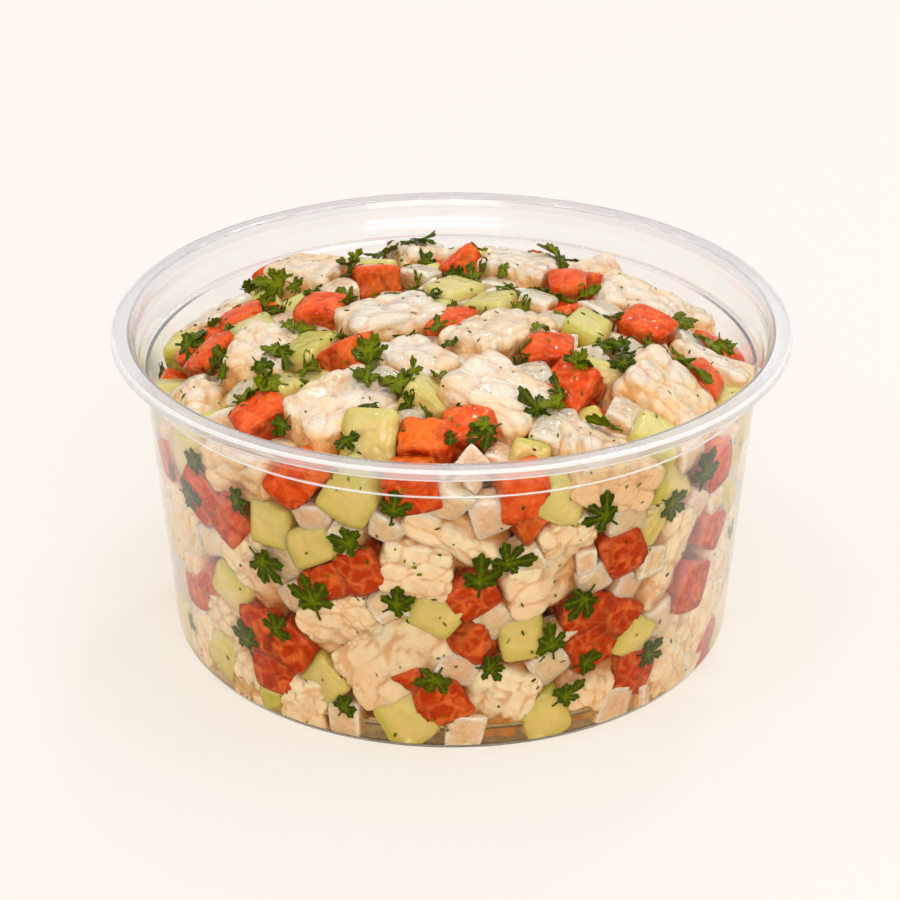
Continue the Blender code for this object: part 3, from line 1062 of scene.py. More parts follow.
def mark_painted_shade(pieces):
    """Marks each point with its painted shade, which is stronger deep among the food, on faces turned
    sideways high in the cup, low in the cup and low in its own dice; and marks how low it is in the cup,
    "low".
    """
    clouds = [np.array([v.co for v in piece.data.vertices]) for piece in pieces]
    tilts = [np.array([v.normal.z for v in piece.data.vertices]) for piece in pieces]
    columns = [tuple(((cloud[:, :2] + RIM_RADIUS) / ROOF_CELL).astype(int).T) for cloud in clouds]
    width = int(2 * RIM_RADIUS / ROOF_CELL) + 1
    roof = np.zeros((width, width))
    for cloud, column in zip(clouds, columns):
        np.maximum.at(roof, column, cloud[:, 2])
    for piece, cloud, tilt, column in zip(pieces, clouds, tilts, columns):
        behind_wall = inner_radius(cloud[:, 2]) - np.hypot(cloud[:, 0], cloud[:, 1])
        deep = soft_step(np.minimum(roof[column] - cloud[:, 2], behind_wall), *SHADED_DEPTH)
        sideways = (1 - tilt) / 2
        low = soft_step(DOME_EDGE - cloud[:, 2], *LOW_IN_CUP)
        under = np.empty(len(cloud), dtype=np.float32)
        piece.data.attributes["under"].data.foreach_get("value", under)
        # painted shade: stronger deep among the food, on sideways faces high in the cup, low in the cup and
        # low in each dice
        shade_share = 0.5 * deep + 0.8 * sideways * (1 - low) + 0.5 * low + 0.3 * (under - 0.4)
        write_mark(piece.data, "painted_shade", np.clip(shade_share, 0, 1))
        write_mark(piece.data, "low", low)


print("columns across the cup:", int(2 * RIM_RADIUS / ROOF_CELL) + 1)

# %% [markdown]
# ## Wet flesh
#
# Four foods, one idea: light goes some way into wet flesh and comes back softer and warmer, and a film of
# juice on it gives small sharp glints. Subsurface scattering does the first and a clear coat the second.
# Patterns are cut straight through the pieces from Object coordinates, as grain runs through real food, and
# a number on each dice shifts its colour a little, since no two come from the same spot.

# %% What all the flesh materials share


def flesh(name, *marks):
    """A material, its tree, the Object coordinate, the same bent by noise, and the marks of the piece."""
    made, tree = bare_material(name)
    place = add(tree, "ShaderNodeTexCoord").outputs["Object"]
    bend = add(tree, "ShaderNodeTexNoise", {"Vector": place, "Scale": 1 / (4 * MM), "Detail": 2.0})
    centred = add(tree, "ShaderNodeVectorMath", {0: bend.outputs["Color"], 1: (0.5, 0.5, 0.5)},
                  operation="SUBTRACT")
    small = add(tree, "ShaderNodeVectorMath", {0: centred.outputs["Vector"], "Scale": 2.4 * MM},
                operation="SCALE")
    bent = add(tree, "ShaderNodeVectorMath", {0: place, 1: small.outputs["Vector"]}, operation="ADD")
    read = [add(tree, "ShaderNodeAttribute", attribute_name=title).outputs["Fac"] for title in marks]
    return made, tree, place, bent.outputs["Vector"], *read


def laid_over(tree, base, code, *masks):
    """Lays a colour over a base where its masks are high. A mask is a value and a weight, or a value and
    the two ends between which it rises smoothly, from 0 to 1 or between two shares that follow."""
    share = None
    for value, *numbers in masks:
        if len(numbers) == 1:
            part = add(tree, "ShaderNodeMath", {0: value, 1: numbers[0]},
                       operation="MULTIPLY").outputs["Value"]
        else:
            low, high, start, end = (*numbers, 0.0, 1.0)[:4]
            part = add(tree, "ShaderNodeMapRange", {
                "Value": value, "From Min": low, "From Max": high, "To Min": start, "To Max": end},
                interpolation_type="SMOOTHSTEP").outputs["Result"]
        if share is not None:
            part = add(tree, "ShaderNodeMath", {0: share, 1: part}, operation="MULTIPLY").outputs["Value"]
        share = part
    mixed = add(tree, "ShaderNodeMix", {0: share, 6: base, 7: colour(code)}, data_type="RGBA")
    return mixed.outputs[2]


def shaded_colour(tree, painted_shade, lit_tone, half, full):
    """A colour that goes from the lit tone through a half-shaded tone to the fully shaded one, by the point's
    painted shade.
    """
    base = laid_over(tree, colour(lit_tone), half, (painted_shade, 0.0, 0.5))
    return laid_over(tree, base, full, (painted_shade, 0.45, 1.0))


def wet_body(made, tree, place, base, relief, strength, depth, gloss):
    """Flesh under a film of juice, whose surface is gentler than the relief of the food under it."""
    bump = add(tree, "ShaderNodeBump", {"Height": relief, "Strength": strength, "Distance": depth})
    swell = add(tree, "ShaderNodeTexNoise", {"Vector": place, "Scale": 1 / (2.0 * MM), "Detail": 1.0})
    film = add(tree, "ShaderNodeBump",
               {"Height": swell.outputs["Fac"], "Strength": 0.6, "Distance": 0.9 * MM})
    body = add(tree, "ShaderNodeBsdfPrincipled", {
        "Base Color": base, "Normal": bump.outputs["Normal"], "Coat Normal": film.outputs["Normal"], **gloss})
    add(tree, "ShaderNodeOutputMaterial", {"Surface": body.outputs["BSDF"]})
    print(made.name, "has", len(tree.nodes), "nodes")
    return made


# %% [markdown]
# ### White fish, cured in lime juice
#
# Acid turns the flesh firm and ivory, and peach where the light has gone deep. It parts into flakes about
# 2.5 mm across, with hollows between them and here and there a thin orange line along their edges. A
# Voronoi pattern is made of just such rounded cells, so it gives the hollows, the lines and the relief, and
# painted shade makes the hollows and each flake's rim darker and warmer.

# %% White fish, cured in lime juice
FLAKE = 2.5 * MM


def cured_fish():
    """Ivory and firm: broad highlights, since flakes scatter light near the surface."""
    made, tree, place, bent, shade, painted_shade, low, crease = flesh(
        "white fish, cured in lime juice", "shade", "painted_shade", "low", "crease")
    to_edge, to_middle = [
        add(tree, "ShaderNodeTexVoronoi", {"Vector": bent, "Scale": 1 / FLAKE}, feature=feature)
        for feature in ("DISTANCE_TO_EDGE", "SMOOTH_F1")]
    blotch = add(tree, "ShaderNodeTexNoise", {"Vector": place, "Scale": 1 / (7 * MM), "Detail": 2.0})
    patches = add(tree, "ShaderNodeTexNoise", {"Vector": place, "Scale": 1 / (5 * MM)})
    wall_shade = (low, 0.0, 0.2, 0.36, 0.6)  # painted shade in creases and at flake rims, stronger at the wall than on top
    # painted shade: ivory where lit, cream and then orange where shaded, warmer still where shaded high in
    # the cup
    base = shaded_colour(tree, painted_shade, "e6ded0", "ffe2b4", "dc8a3a")
    base = laid_over(tree, base, "e6a050", (painted_shade, 0.15, 0.6), (low, 0.0, 0.6, 0.5, 0.0))
    base = laid_over(tree, base, "f0cb92", (blotch.outputs["Fac"], 0.4, 0.72, 0.0, 0.6))
    base = laid_over(tree, base, "f6c88a", (shade, 0.25))
    # painted shade: darker and warmer in the creases and at each flake's rim
    base = laid_over(tree, base, "dc944c", (crease, 0.35, 1.0), wall_shade)
    base = laid_over(tree, base, "eab47c", (to_middle.outputs["Distance"], 0.4, 0.75, 0.0, 0.6), wall_shade)
    base = laid_over(tree, base, "d07a30", (to_edge.outputs["Distance"], 0.0, 0.1, 0.45, 0.0),
                     (patches.outputs["Fac"], 0.5, 0.68))
    fibre = add(tree, "ShaderNodeTexNoise", {"Vector": bent, "Scale": 1 / (0.9 * MM), "Detail": 3.0})
    fine = add(tree, "ShaderNodeMath", {0: fibre.outputs["Fac"], 1: 0.25}, operation="MULTIPLY")
    relief = add(tree, "ShaderNodeMath", {0: to_middle.outputs["Distance"], 1: -1.0,
                                          2: fine.outputs["Value"]}, operation="MULTIPLY_ADD")
    return wet_body(made, tree, place, base, relief.outputs["Value"], 1.0, 1.2 * MM, {
        "Roughness": 0.42, "IOR": 1.4, "Specular IOR Level": 0.3,
        "Subsurface Weight": 0.3, "Subsurface Radius": (1.0, 0.6, 0.32), "Subsurface Scale": 1.8 * MM,
        "Coat Weight": 0.5, "Coat Roughness": 0.08})


fish_look = cured_fish()

# %% [markdown]
# ### Tomato, freshly diced
#
# Deep red skin on one side, and cut flesh that is lighter, with pale membranes about 4 mm apart and glossy
# pulp. Noise gives the pulp its soft patches, and a Voronoi pattern's edges the membranes. Painted shade
# darkens it deep among the food, low in the cup and along its edges.

# %% Tomato, freshly diced


def diced_tomato():
    """Red and wet: light comes back from deep inside, and the film gives small sharp glints."""
    made, tree, place, bent, shade, painted_shade, low, skin, edge = flesh(
        "tomato, freshly diced", "shade", "painted_shade", "low", "skin", "edge")
    blotch = add(tree, "ShaderNodeTexNoise", {"Vector": bent, "Scale": 1 / (3.5 * MM), "Detail": 2.0})
    walls = add(tree, "ShaderNodeTexVoronoi", {"Vector": bent, "Scale": 1 / (4 * MM)},
                feature="DISTANCE_TO_EDGE")
    streaks = add(tree, "ShaderNodeTexNoise", {"Vector": bent, "Scale": 1 / (2.4 * MM), "Detail": 1.0,
                                               "Distortion": 0.8})
    # painted shade: bright red where lit, darker red where shaded
    base = shaded_colour(tree, painted_shade, "ff6e08", "c84c08", "8c2c04")
    base = laid_over(tree, base, "fb7c24", (blotch.outputs["Fac"], 0.4, 0.68, 0.0, 0.6))
    base = laid_over(tree, base, "e2521a", (shade, 0.3))
    base = laid_over(tree, base, "e84406", (skin, 0.8))
    # painted shade: darker still where shaded and low in the cup
    base = laid_over(tree, base, "9c2804", (painted_shade, 0.4, 0.9, 0.0, 0.6))
    base = laid_over(tree, base, "8c2404", (low, 0.1, 0.8, 0.0, 0.45))
    base = laid_over(tree, base, "f08c48", (walls.outputs["Distance"], 0.0, 0.14, 0.26, 0.0))
    base = laid_over(tree, base, "fa7e38", (streaks.outputs["Fac"], 0.5, 0.68, 0.0, 0.5))
    base = laid_over(tree, base, "9c2000", (streaks.outputs["Fac"], 0.48, 0.3, 0.0, 0.4))
    # painted shade: darker along the dice's edges
    base = laid_over(tree, base, "9c2c04", (edge, 0.2))
    pulp = add(tree, "ShaderNodeTexNoise", {"Vector": bent, "Scale": 1 / (1.8 * MM), "Detail": 1.0})
    return wet_body(made, tree, place, base, pulp.outputs["Fac"], 0.8, 1.2 * MM, {
        "Roughness": 0.3, "IOR": 1.38, "Specular IOR Level": 0.15, "Specular Tint": colour("ffdca8"),
        "Subsurface Weight": 0.3, "Subsurface Radius": (1.0, 0.25, 0.12), "Subsurface Scale": 2.0 * MM,
        "Coat Weight": 0.38, "Coat Roughness": 0.06})


tomato_look = diced_tomato()

# %% [markdown]
# ### Cucumber, peeled and diced
#
# Pale, watery and glassy, with a greener edge where the peel was. It could be made of real glass, but light
# that scatters a long way under the surface looks as moist and costs far less to render.

# %% Cucumber, peeled and diced


def diced_cucumber():
    """Pale green, with light scattered deep below a very wet surface."""
    made, tree, place, bent, shade, painted_shade, skin, edge = flesh(
        "cucumber, peeled and diced", "shade", "painted_shade", "skin", "edge")
    blotch = add(tree, "ShaderNodeTexNoise", {"Vector": bent, "Scale": 1 / (4 * MM), "Detail": 1.0})
    # painted shade: pale green where lit, yellower and darker where shaded
    base = shaded_colour(tree, painted_shade, "d6cf84", "e6c872", "bc9430")
    base = laid_over(tree, base, "d0bc50", (blotch.outputs["Fac"], 0.4, 0.75, 0.0, 0.5))
    base = laid_over(tree, base, "f2dca6", (shade, 0.3))
    base = laid_over(tree, base, "b4ae20", (skin, 0.6))
    # painted shade: darker towards the dice's edges
    base = laid_over(tree, base, "b8a83c", (edge, 0.45))
    ripple = add(tree, "ShaderNodeTexNoise", {"Vector": place, "Scale": 1 / (2.2 * MM), "Detail": 1.0})
    return wet_body(made, tree, place, base, ripple.outputs["Fac"], 0.7, 1.0 * MM, {
        "Roughness": 0.32, "IOR": 1.36, "Specular IOR Level": 0.35, "Specular Tint": colour("fff2d8"),
        "Subsurface Weight": 0.5, "Subsurface Radius": (0.9, 1.0, 0.4), "Subsurface Scale": 2.5 * MM,
        "Coat Weight": 0.7, "Coat Roughness": 0.07})


cucumber_look = diced_cucumber()

# %% [markdown]
# ### Onion, diced
#
# Nearly clear layers, white to faintly pink, with cell walls about a millimetre apart and bright cut edges.
# Fine noise gives the cells, and a mark on each block's edges lightens them as a painted highlight.

# %% Onion, diced


def diced_onion():
    """White and half clear: the most scattered light of the four."""
    made, tree, place, bent, shade, painted_shade, edge = flesh("onion, diced", "shade", "painted_shade", "edge")
    grain = add(tree, "ShaderNodeTexNoise", {"Vector": bent, "Scale": 1 / (1.1 * MM), "Detail": 2.0})
    # painted shade: white where lit, warmer and darker where shaded
    base = shaded_colour(tree, painted_shade, "d2c8b2", "f0c896", "c88e48")
    base = laid_over(tree, base, "ecb08a", (shade, 0.5, 0.9, 0.0, 0.6))
    base = laid_over(tree, base, "d8b478", (grain.outputs["Fac"], 0.4, 0.75, 0.0, 0.6))
    # painted highlight: lighter along the cut edges
    base = laid_over(tree, base, "faeedc", (edge, 0.65))
    return wet_body(made, tree, place, base, grain.outputs["Fac"], 0.8, 1.0 * MM, {
        "Roughness": 0.28, "IOR": 1.37,
        "Subsurface Weight": 0.6, "Subsurface Radius": (1.0, 0.8, 0.65), "Subsurface Scale": 2.5 * MM,
        "Coat Weight": 0.7, "Coat Roughness": 0.07})


onion_look = diced_onion()

# %% Make the dice
LOOKS = dict(zip(KINDS, (fish_look, tomato_look, cucumber_look, onion_look)))
NAMES = dict(zip(KINDS, ("fish_chunks", "diced_tomato", "diced_cucumber", "diced_onion")))
# small dice lie in front where two are pressed against the same spot
REACHES = dict(zip(KINDS, (0.06 * MM, 0.08 * MM, 0.1 * MM, 0.12 * MM)))
dice_pieces = {}
for kind in KINDS:
    mine = [i for i, d in enumerate(placed) if d[0] == kind]
    stretches = [placed[i][3] / HALF_SIZES[kind] for i in mine]
    picks = layout.integers(0, FORMS, len(mine))
    shades = layout.uniform(0, 1, len(mine))
    piece = scattered(NAMES[kind], forms[kind], LOOKS[kind], middles[mine], turns[mine], stretches, picks,
                      shades)
    mark_underside(piece, len(mine))
    press_to_wall(piece, REACHES[kind])
    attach(piece, "root")
    dice_pieces[kind] = piece
    print(piece.name, len(mine), "pieces,", triangles(piece), "triangles")

mark_painted_shade(dice_pieces.values())

# %% [markdown]
# ## The core of the heap
#
# Behind the dice that show lies more of the same, of which only glimpses are seen between them. A single
# turned body fills that space. Its surface is pushed in and out by a Voronoi pattern as large as the dice,
# and each cell takes the colour of one of the foods, so a gap shows something that could be a dice further
# in. It replaces the frame's solid heap.

# %% Core with relief
CORE_DEPTH = 8.5 * MM  # how far it stays behind the wall and under the dome
FOOT_DEPTH = 2.5 * MM  # and at its foot, where the first row of dice leaves wide gaps
CORE_CELL = 7 * MM
CORE_RELIEF = 3 * MM
CORE_FOOT = 1.6 * MM  # the height of its underside
CORE_STEPS = 26


def core_section():
    """The core's section from the floor's middle, up its side, over its top to the axis."""
    edge_height = float(dome_height(RADIUS_UNDER_STEP - CORE_DEPTH, 0)) - CORE_DEPTH
    foot_radius = float(inner_radius(CORE_FOOT)) - FOOT_DEPTH
    points = [(foot_radius * i / 20, CORE_FOOT) for i in range(21)]
    for i in range(1, CORE_STEPS + 1):
        height = CORE_FOOT + (edge_height - CORE_FOOT) * i / CORE_STEPS
        depth = FOOT_DEPTH + (CORE_DEPTH - FOOT_DEPTH) * min(1, (height - CORE_FOOT) / (9 * MM))
        points.append((float(inner_radius(height)) - depth, height))
    edge = points[-1][0]
    for i in range(1, CORE_STEPS + 1):
        radius = edge * (1 - i / CORE_STEPS)
        points.append((radius, float(dome_height(radius, 0)) - CORE_DEPTH))
    return points


relief_tree, given, result = new_tree("cells in relief", Body="Geometry", Cell="Float", Depth="Float",
                                      Material="Material")
spot = add(relief_tree, "GeometryNodeInputPosition").outputs["Position"]
frequency = add(relief_tree, "ShaderNodeMath", {0: 1.0, 1: given["Cell"]}, operation="DIVIDE")
cells = add(relief_tree, "ShaderNodeTexVoronoi", {"Vector": spot, "Scale": frequency.outputs["Value"]},
            feature="SMOOTH_F1")
inward = add(relief_tree, "ShaderNodeMath", {0: cells.outputs["Distance"], 1: given["Depth"]},
             operation="MULTIPLY")
inward = add(relief_tree, "ShaderNodeMath", {0: inward.outputs["Value"], 1: -1.0}, operation="MULTIPLY")
facing_out = add(relief_tree, "GeometryNodeInputNormal").outputs["Normal"]
push = add(relief_tree, "ShaderNodeVectorMath", {0: facing_out, "Scale": inward.outputs["Value"]},
           operation="SCALE")
moved_body = add(relief_tree, "GeometryNodeSetPosition",
                 {"Geometry": given["Body"], "Offset": push.outputs["Vector"]})
finish_tree(relief_tree, moved_body.outputs["Geometry"], given, result)


def mixed_flesh():
    """Cells in the colours of the four foods, for what shows between the dice."""
    made, tree, _, bent = flesh("mixed ceviche, deep in the cup")
    cell = add(tree, "ShaderNodeTexVoronoi", {"Vector": bent, "Scale": 1 / CORE_CELL})
    pick = add(tree, "ShaderNodeSeparateColor", {0: cell.outputs["Color"]}).outputs["Red"]
    # painted shade: the cells take the darker, warmer tones that the foods have in shade
    base = laid_over(tree, colour("ecc79c"), "c9b26a", (pick, 0.44, 0.46))
    base = laid_over(tree, base, "e0c2a0", (pick, 0.59, 0.61))
    base = laid_over(tree, base, "cf4a24", (pick, 0.77, 0.79))
    body = add(tree, "ShaderNodeBsdfPrincipled", {
        "Base Color": base, "Roughness": 0.4, "Subsurface Weight": 0.3,
        "Subsurface Radius": (1.0, 0.6, 0.35), "Subsurface Scale": 3 * MM})
    add(tree, "ShaderNodeOutputMaterial", {"Surface": body.outputs["BSDF"]})
    return made


plain_core = turned("core_body", core_section(), 150, None)
core = grown("heap_core", relief_tree, plain_core.data, Cell=CORE_CELL, Depth=CORE_RELIEF,
             Material=mixed_flesh())
bpy.data.objects.remove(plain_core)
core.data.shade_smooth()
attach(core, "root")
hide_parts("ceviche_heap")
print("core:", triangles(core), "triangles")

# %% [markdown]
# ## The juice at the bottom
#
# Lime juice and tomato water drain to the floor of the cup and stand there a few millimetres deep between
# the dice, and climb a little where they meet the wall. In a render, a liquid that stops short of the
# plastic shows a dark line of air, so it is made to reach just into the wall and the floor. It is a turned
# body like the cup, and replaces the frame's juice.

# %% Lime juice
JUICE_REACH = 0.03 * MM  # less than the dice reach, so that they lie in front of it
FLOOR_REACH = 0.3 * MM
JUICE_DROP = 2.0 * MM  # how far below the frame's level it stands between the dice
MENISCUS = 1.5 * MM  # how high it climbs the wall and how far in it slopes


def lime_juice():
    """Cloudy tan juice: it bends light like water, and lamps reach the food in it."""
    made, tree = bare_material("lime juice with tomato water")
    body = add(tree, "ShaderNodeBsdfPrincipled", {
        "Base Color": colour("e6cc98"), "Roughness": 0.12, "IOR": 1.33, "Transmission Weight": 0.93})
    let_light_by(tree, body.outputs["BSDF"], colour("fbf2e0"))
    return made


def juice_section():
    """The section of the juice: floor, rounded corner, wall, the slope at the wall and the level top."""
    radius = BASE_CORNER - WALL / 2
    floor = WALL - FLOOR_REACH
    wall_there = float(inner_radius(floor + radius)) + JUICE_REACH
    level = juice_high[2] - JUICE_DROP
    corner = arc((wall_there - radius, floor + radius), radius, -90, 0, 8)
    slope = []
    for i in range(9):
        share = i / 8
        height = level + MENISCUS * (1 - share) ** 2.5
        slope.append((float(inner_radius(height)) + JUICE_REACH - MENISCUS * share, height))
    return [(0.0, floor)] + corner + slope + [(0.0, level)]


juice = turned("lime_juice_pool", juice_section(), SEGMENTS, lime_juice())
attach(juice, "root")
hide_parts("lime_juice")
print("the juice stands", round((juice_high[2] - JUICE_DROP - WALL) / MM, 1), "mm deep")

# %% [markdown]
# ## Parsley leaves
#
# Chopped flat-leaf parsley falls into single leaves under a centimetre wide, with five lobes whose ends
# have rounded teeth. An outline in polar form says that in a few lines: for each direction from the stalk,
# the lobe that reaches furthest. The leaf is a thin closed sheet. Juice glues leaves to whatever they
# touch, so leaves at the wall are pressed flat on it, in front of the dice, and leaves on top are laid
# down from above and drape over what they hit.

# %% Leaf forms
LEAF_REACH = 4.1 * MM
LEAF_THICKNESS = 0.2 * MM
LEAF_STEPS = 90
LEAF_RINGS = (0.55, 1.0)
LOBES = ((-104, 0.7), (-53, 0.92), (0, 1.0), (53, 0.92), (104, 0.7))
TEETH = ((-0.62, 0.86), (0.0, 1.0), (0.62, 0.86))  # place across a lobe, and length
TOOTH_WIDTH = 0.42
TOOTH_FOOT = 0.66  # how far out a tooth starts, as a share of its reach
VEIN_WIDTH = 0.16
WEB_REACH = 0.3  # how far the leaf reaches between two lobes


def leaf_outline(draw):
    """For each direction round the leaf: how far it reaches, and how near it is to a vein."""
    angles = np.linspace(-180, 180, LEAF_STEPS, endpoint=False)
    reach = np.full(LEAF_STEPS, WEB_REACH)
    reach[np.abs(angles) > 174] = 0.6  # the stalk
    vein = np.zeros(LEAF_STEPS)
    for middle, length in LOBES:
        middle = middle + draw.uniform(-7, 7)
        length = length * draw.uniform(0.66, 1.15)
        off = (angles - middle) / draw.uniform(18, 25)
        for place, share in TEETH:
            from_tooth = np.abs(off - place) / TOOTH_WIDTH
            tooth = TOOTH_FOOT + (1 - TOOTH_FOOT) * np.sqrt(np.clip(1 - from_tooth**2, 0, 1))
            reach = np.maximum(reach, length * share * tooth * (from_tooth < 1))
        vein = np.maximum(vein, np.exp(-((off / VEIN_WIDTH) ** 2)))
    return np.radians(angles), reach, vein


def leaf_form(draw):
    """One leaf, flat in X and Y, gently waved, as a thin closed sheet."""
    angles, reach, vein = leaf_outline(draw)
    wave, fold = draw.uniform(0, math.tau, 2), draw.uniform(-1, 1)
    sheet, veins, out = [(0.0, 0.0)], [1.0], [0.0]
    for ring in LEAF_RINGS:
        for angle, length, line in zip(angles, reach, vein):
            sheet.append((math.sin(angle) * length * ring, math.cos(angle) * length * ring))
            veins.append(line * (1 - 0.5 * ring))
            out.append(ring)
    sheet = np.array(sheet) * LEAF_REACH * (draw.uniform(0.75, 1.05), draw.uniform(0.9, 1.1))
    distance = np.linalg.norm(sheet, axis=1) / LEAF_REACH
    around = np.arctan2(sheet[:, 0], sheet[:, 1])
    lift = 0.9 * MM * distance * np.sin(3 * around + wave[0]) + 1.2 * MM * distance**2 * math.sin(wave[1])
    lift += 1.6 * MM * fold * np.abs(sheet[:, 0]) / LEAF_REACH
    count = len(sheet)
    top = np.column_stack([sheet, lift + LEAF_THICKNESS / 2])
    under = np.column_stack([sheet, lift - LEAF_THICKNESS / 2])
    faces = []
    for i in range(LEAF_STEPS):
        following = (i + 1) % LEAF_STEPS
        faces.append([0, 1 + following, 1 + i])
        faces.append([count, count + 1 + i, count + 1 + following])
        for ring in range(len(LEAF_RINGS) - 1):
            a, b = 1 + ring * LEAF_STEPS + i, 1 + ring * LEAF_STEPS + following
            c, d = b + LEAF_STEPS, a + LEAF_STEPS
            faces.append([a, b, c, d])
            faces.append([count + a, count + d, count + c, count + b])
        rim = 1 + (len(LEAF_RINGS) - 1) * LEAF_STEPS
        faces.append([rim + i, rim + following, count + rim + following, count + rim + i])
    mesh = as_mesh("leaf", np.vstack([top, under]), faces, side=np.repeat([1.0, 0.0], count),
                   vein=np.tile(veins, 2), out=np.tile(out, 2))
    mesh.set_sharp_from_angle(angle=math.radians(50))
    return mesh


leaf_forms = forms_of("leaf_form", leaf_form, 7)

# %% Where the leaves lie, in degrees and millimetres
# at the wall: angle and height, and on top: right and back
LEAVES_AT_WALL = [
    (-18, 39), (-42, 41), (-37, 31), (-58, 36), (-10, 28), (-21, 6), (-35, 18), (-43, 13), (-26, 26),
    (-10, 46), (10, 36), (5, 33), (28, 42), (43, 40), (25, 27), (7, 16), (19, 19), (26, 14), (22, 8),
    (41, 11), (53, 42), (-53, 44), (-3, 14),
]
LEAVES_ON_TOP = [
    (-31, 18), (-7, 38), (-4, 7), (-46, 1), (-24, -7), (-29, -15), (-8, -30), (-14, -29), (-34, -27),
    (-29, -28), (-13, -21), (26, -13), (19, 28), (12, 10), (2, 18), (14, -36), (39, 5), (11, -22),
    (28, -21), (36, -14), (21, -24), (47, 4), (6, -43),
]
GAP_LEAVES = 100
DIP_TRIES = 900
DIP_SPACING = 3  # millimetres between two dips
leaf_draws = np.random.default_rng(31)
surfaces = [BVHTree.FromObject(piece, bpy.context.evaluated_depsgraph_get())
            for piece in (*dice_pieces.values(), core)]


def top_at(right, back):
    """The height of the food straight below a point above the cup, in metres."""
    hits = [tree.ray_cast(Vector((right, back, 1.0)), Vector((0, 0, -1)))[0] for tree in surfaces]
    return max((hit.z for hit in hits if hit), default=float(dome_height(right, back)))


def circle(radius, count):
    """Steps right and back that go round a circle."""
    return [(math.cos(a) * radius, math.sin(a) * radius) for a in np.arange(count) * math.tau / count]


def dips(count):
    """Places on top where the food dips, which is where chopped herb collects, in millimetres."""
    found, chosen = [], []
    for _ in range(DIP_TRIES):
        distance, turn = 46 * MM * math.sqrt(leaf_draws.uniform()), leaf_draws.uniform(0, math.tau)
        right, back = distance * math.cos(turn), distance * math.sin(turn)
        around = np.mean([top_at(right + x, back + y) for x, y in circle(3.5 * MM, 6)])
        found.append((around - top_at(right, back), right / MM, back / MM))
    for _, right, back in sorted(found, reverse=True):
        clear = all(math.hypot(right - x, back - y) > DIP_SPACING for x, y in chosen)
        if clear and len(chosen) < count:
            chosen.append((right, back))
    return chosen


def leaf_plan():
    """Every leaf: whether it is at the wall, angle or right, height or back, size, and tilt in degrees."""
    plan = [(True, angle, height, leaf_draws.uniform(0.95, 1.3), 0) for angle, height in LEAVES_AT_WALL]
    for right, back in LEAVES_ON_TOP:
        plan.append((False, right, back, leaf_draws.uniform(0.85, 1.15), 20))
        aside = leaf_draws.normal(0, 1.8, 2)
        plan.append((False, right + aside[0], back + aside[1], leaf_draws.uniform(0.5, 0.85), 45))
    for angle in range(62, 300, 10):
        for height in (12, 26, 38):
            if leaf_draws.uniform() < 0.55:
                plan.append((True, angle + leaf_draws.uniform(-4, 4), height + leaf_draws.uniform(-8, 5),
                             leaf_draws.uniform(0.5, 1.0), 0))
    plan += [(False, right, back, leaf_draws.uniform(0.5, 0.9), 50) for right, back in dips(GAP_LEAVES)]
    return plan


leaves_planned = leaf_plan()
print("leaves:", len(leaves_planned))

# %% Where each leaf's middle is
STEEPEST = 0.9  # the steepest slope that a leaf on top follows
RISE = 0.02 * MM  # how much higher a leaf lies for each degree of tilt


def leaf_place(at_the_wall, first, second, size, tilt):
    """Where a leaf's middle is, and how it is turned."""
    turn = leaf_draws.uniform(0, math.tau)
    if at_the_wall:
        outward, along = towards_wall(math.radians(first))
        middle = outward * float(inner_radius(second * MM))
        return np.array([middle[0], middle[1], second * MM]), facing(outward, along, turn)
    right, back = first * MM, second * MM
    around = circle(3 * MM * size, 8)
    heights = np.array([top_at(right + x, back + y) for x, y in around])
    fit, *_ = np.linalg.lstsq(np.column_stack([around, np.ones(8)]), heights, rcond=None)
    outward = np.array([-fit[0], -fit[1], 1.0])
    outward[:2] *= min(1.0, STEEPEST / max(float(np.hypot(*outward[:2])), 1e-6))
    leaning = turned_about(leaf_draws.normal(size=3), math.radians(leaf_draws.uniform(0, tilt)))
    height = max(fit[2], top_at(right, back)) + RISE * tilt
    return np.array([right, back, height]), leaning @ facing(outward, np.array([1.0, 0, 0]), turn)


leaf_places, leaf_turns = zip(*[leaf_place(*leaf) for leaf in leaves_planned])
print("leaves at the wall:", sum(leaf[0] for leaf in leaves_planned))

# %% [markdown]
# ### Parsley leaf, chopped
#
# A thin green leaf, darker towards its teeth, with paler veins, and wet on top. The outline's formula already
# knows where the veins and the edge are, so it marks them on the mesh, and no picture of a leaf is needed.

# %% Parsley leaf, chopped


def parsley():
    """Deep green with a yellow-green sheen, and a little light coming through."""
    made, tree, place, _, shade, out, vein = flesh("parsley leaf, chopped", "shade", "out", "vein")
    base = laid_over(tree, colour("344600"), "7c8402", (shade, 0.0, 1.0))
    base = laid_over(tree, base, "2a3c00", (out, 0.45))
    base = laid_over(tree, base, "8c9a08", (vein, 0.45))
    crinkle = add(tree, "ShaderNodeTexNoise", {"Vector": place, "Scale": 1 / (1.1 * MM), "Detail": 2.0})
    return wet_body(made, tree, place, base, crinkle.outputs["Fac"], 1.0, 1.5 * MM, {
        "Roughness": 0.34, "IOR": 1.42, "Specular IOR Level": 0.3, "Specular Tint": colour("ffe060"),
        "Subsurface Weight": 0.15, "Subsurface Radius": (0.4, 1.0, 0.2), "Subsurface Scale": 0.6 * MM,
        "Coat Weight": 0.1, "Coat Roughness": 0.06})


herb_look = parsley()

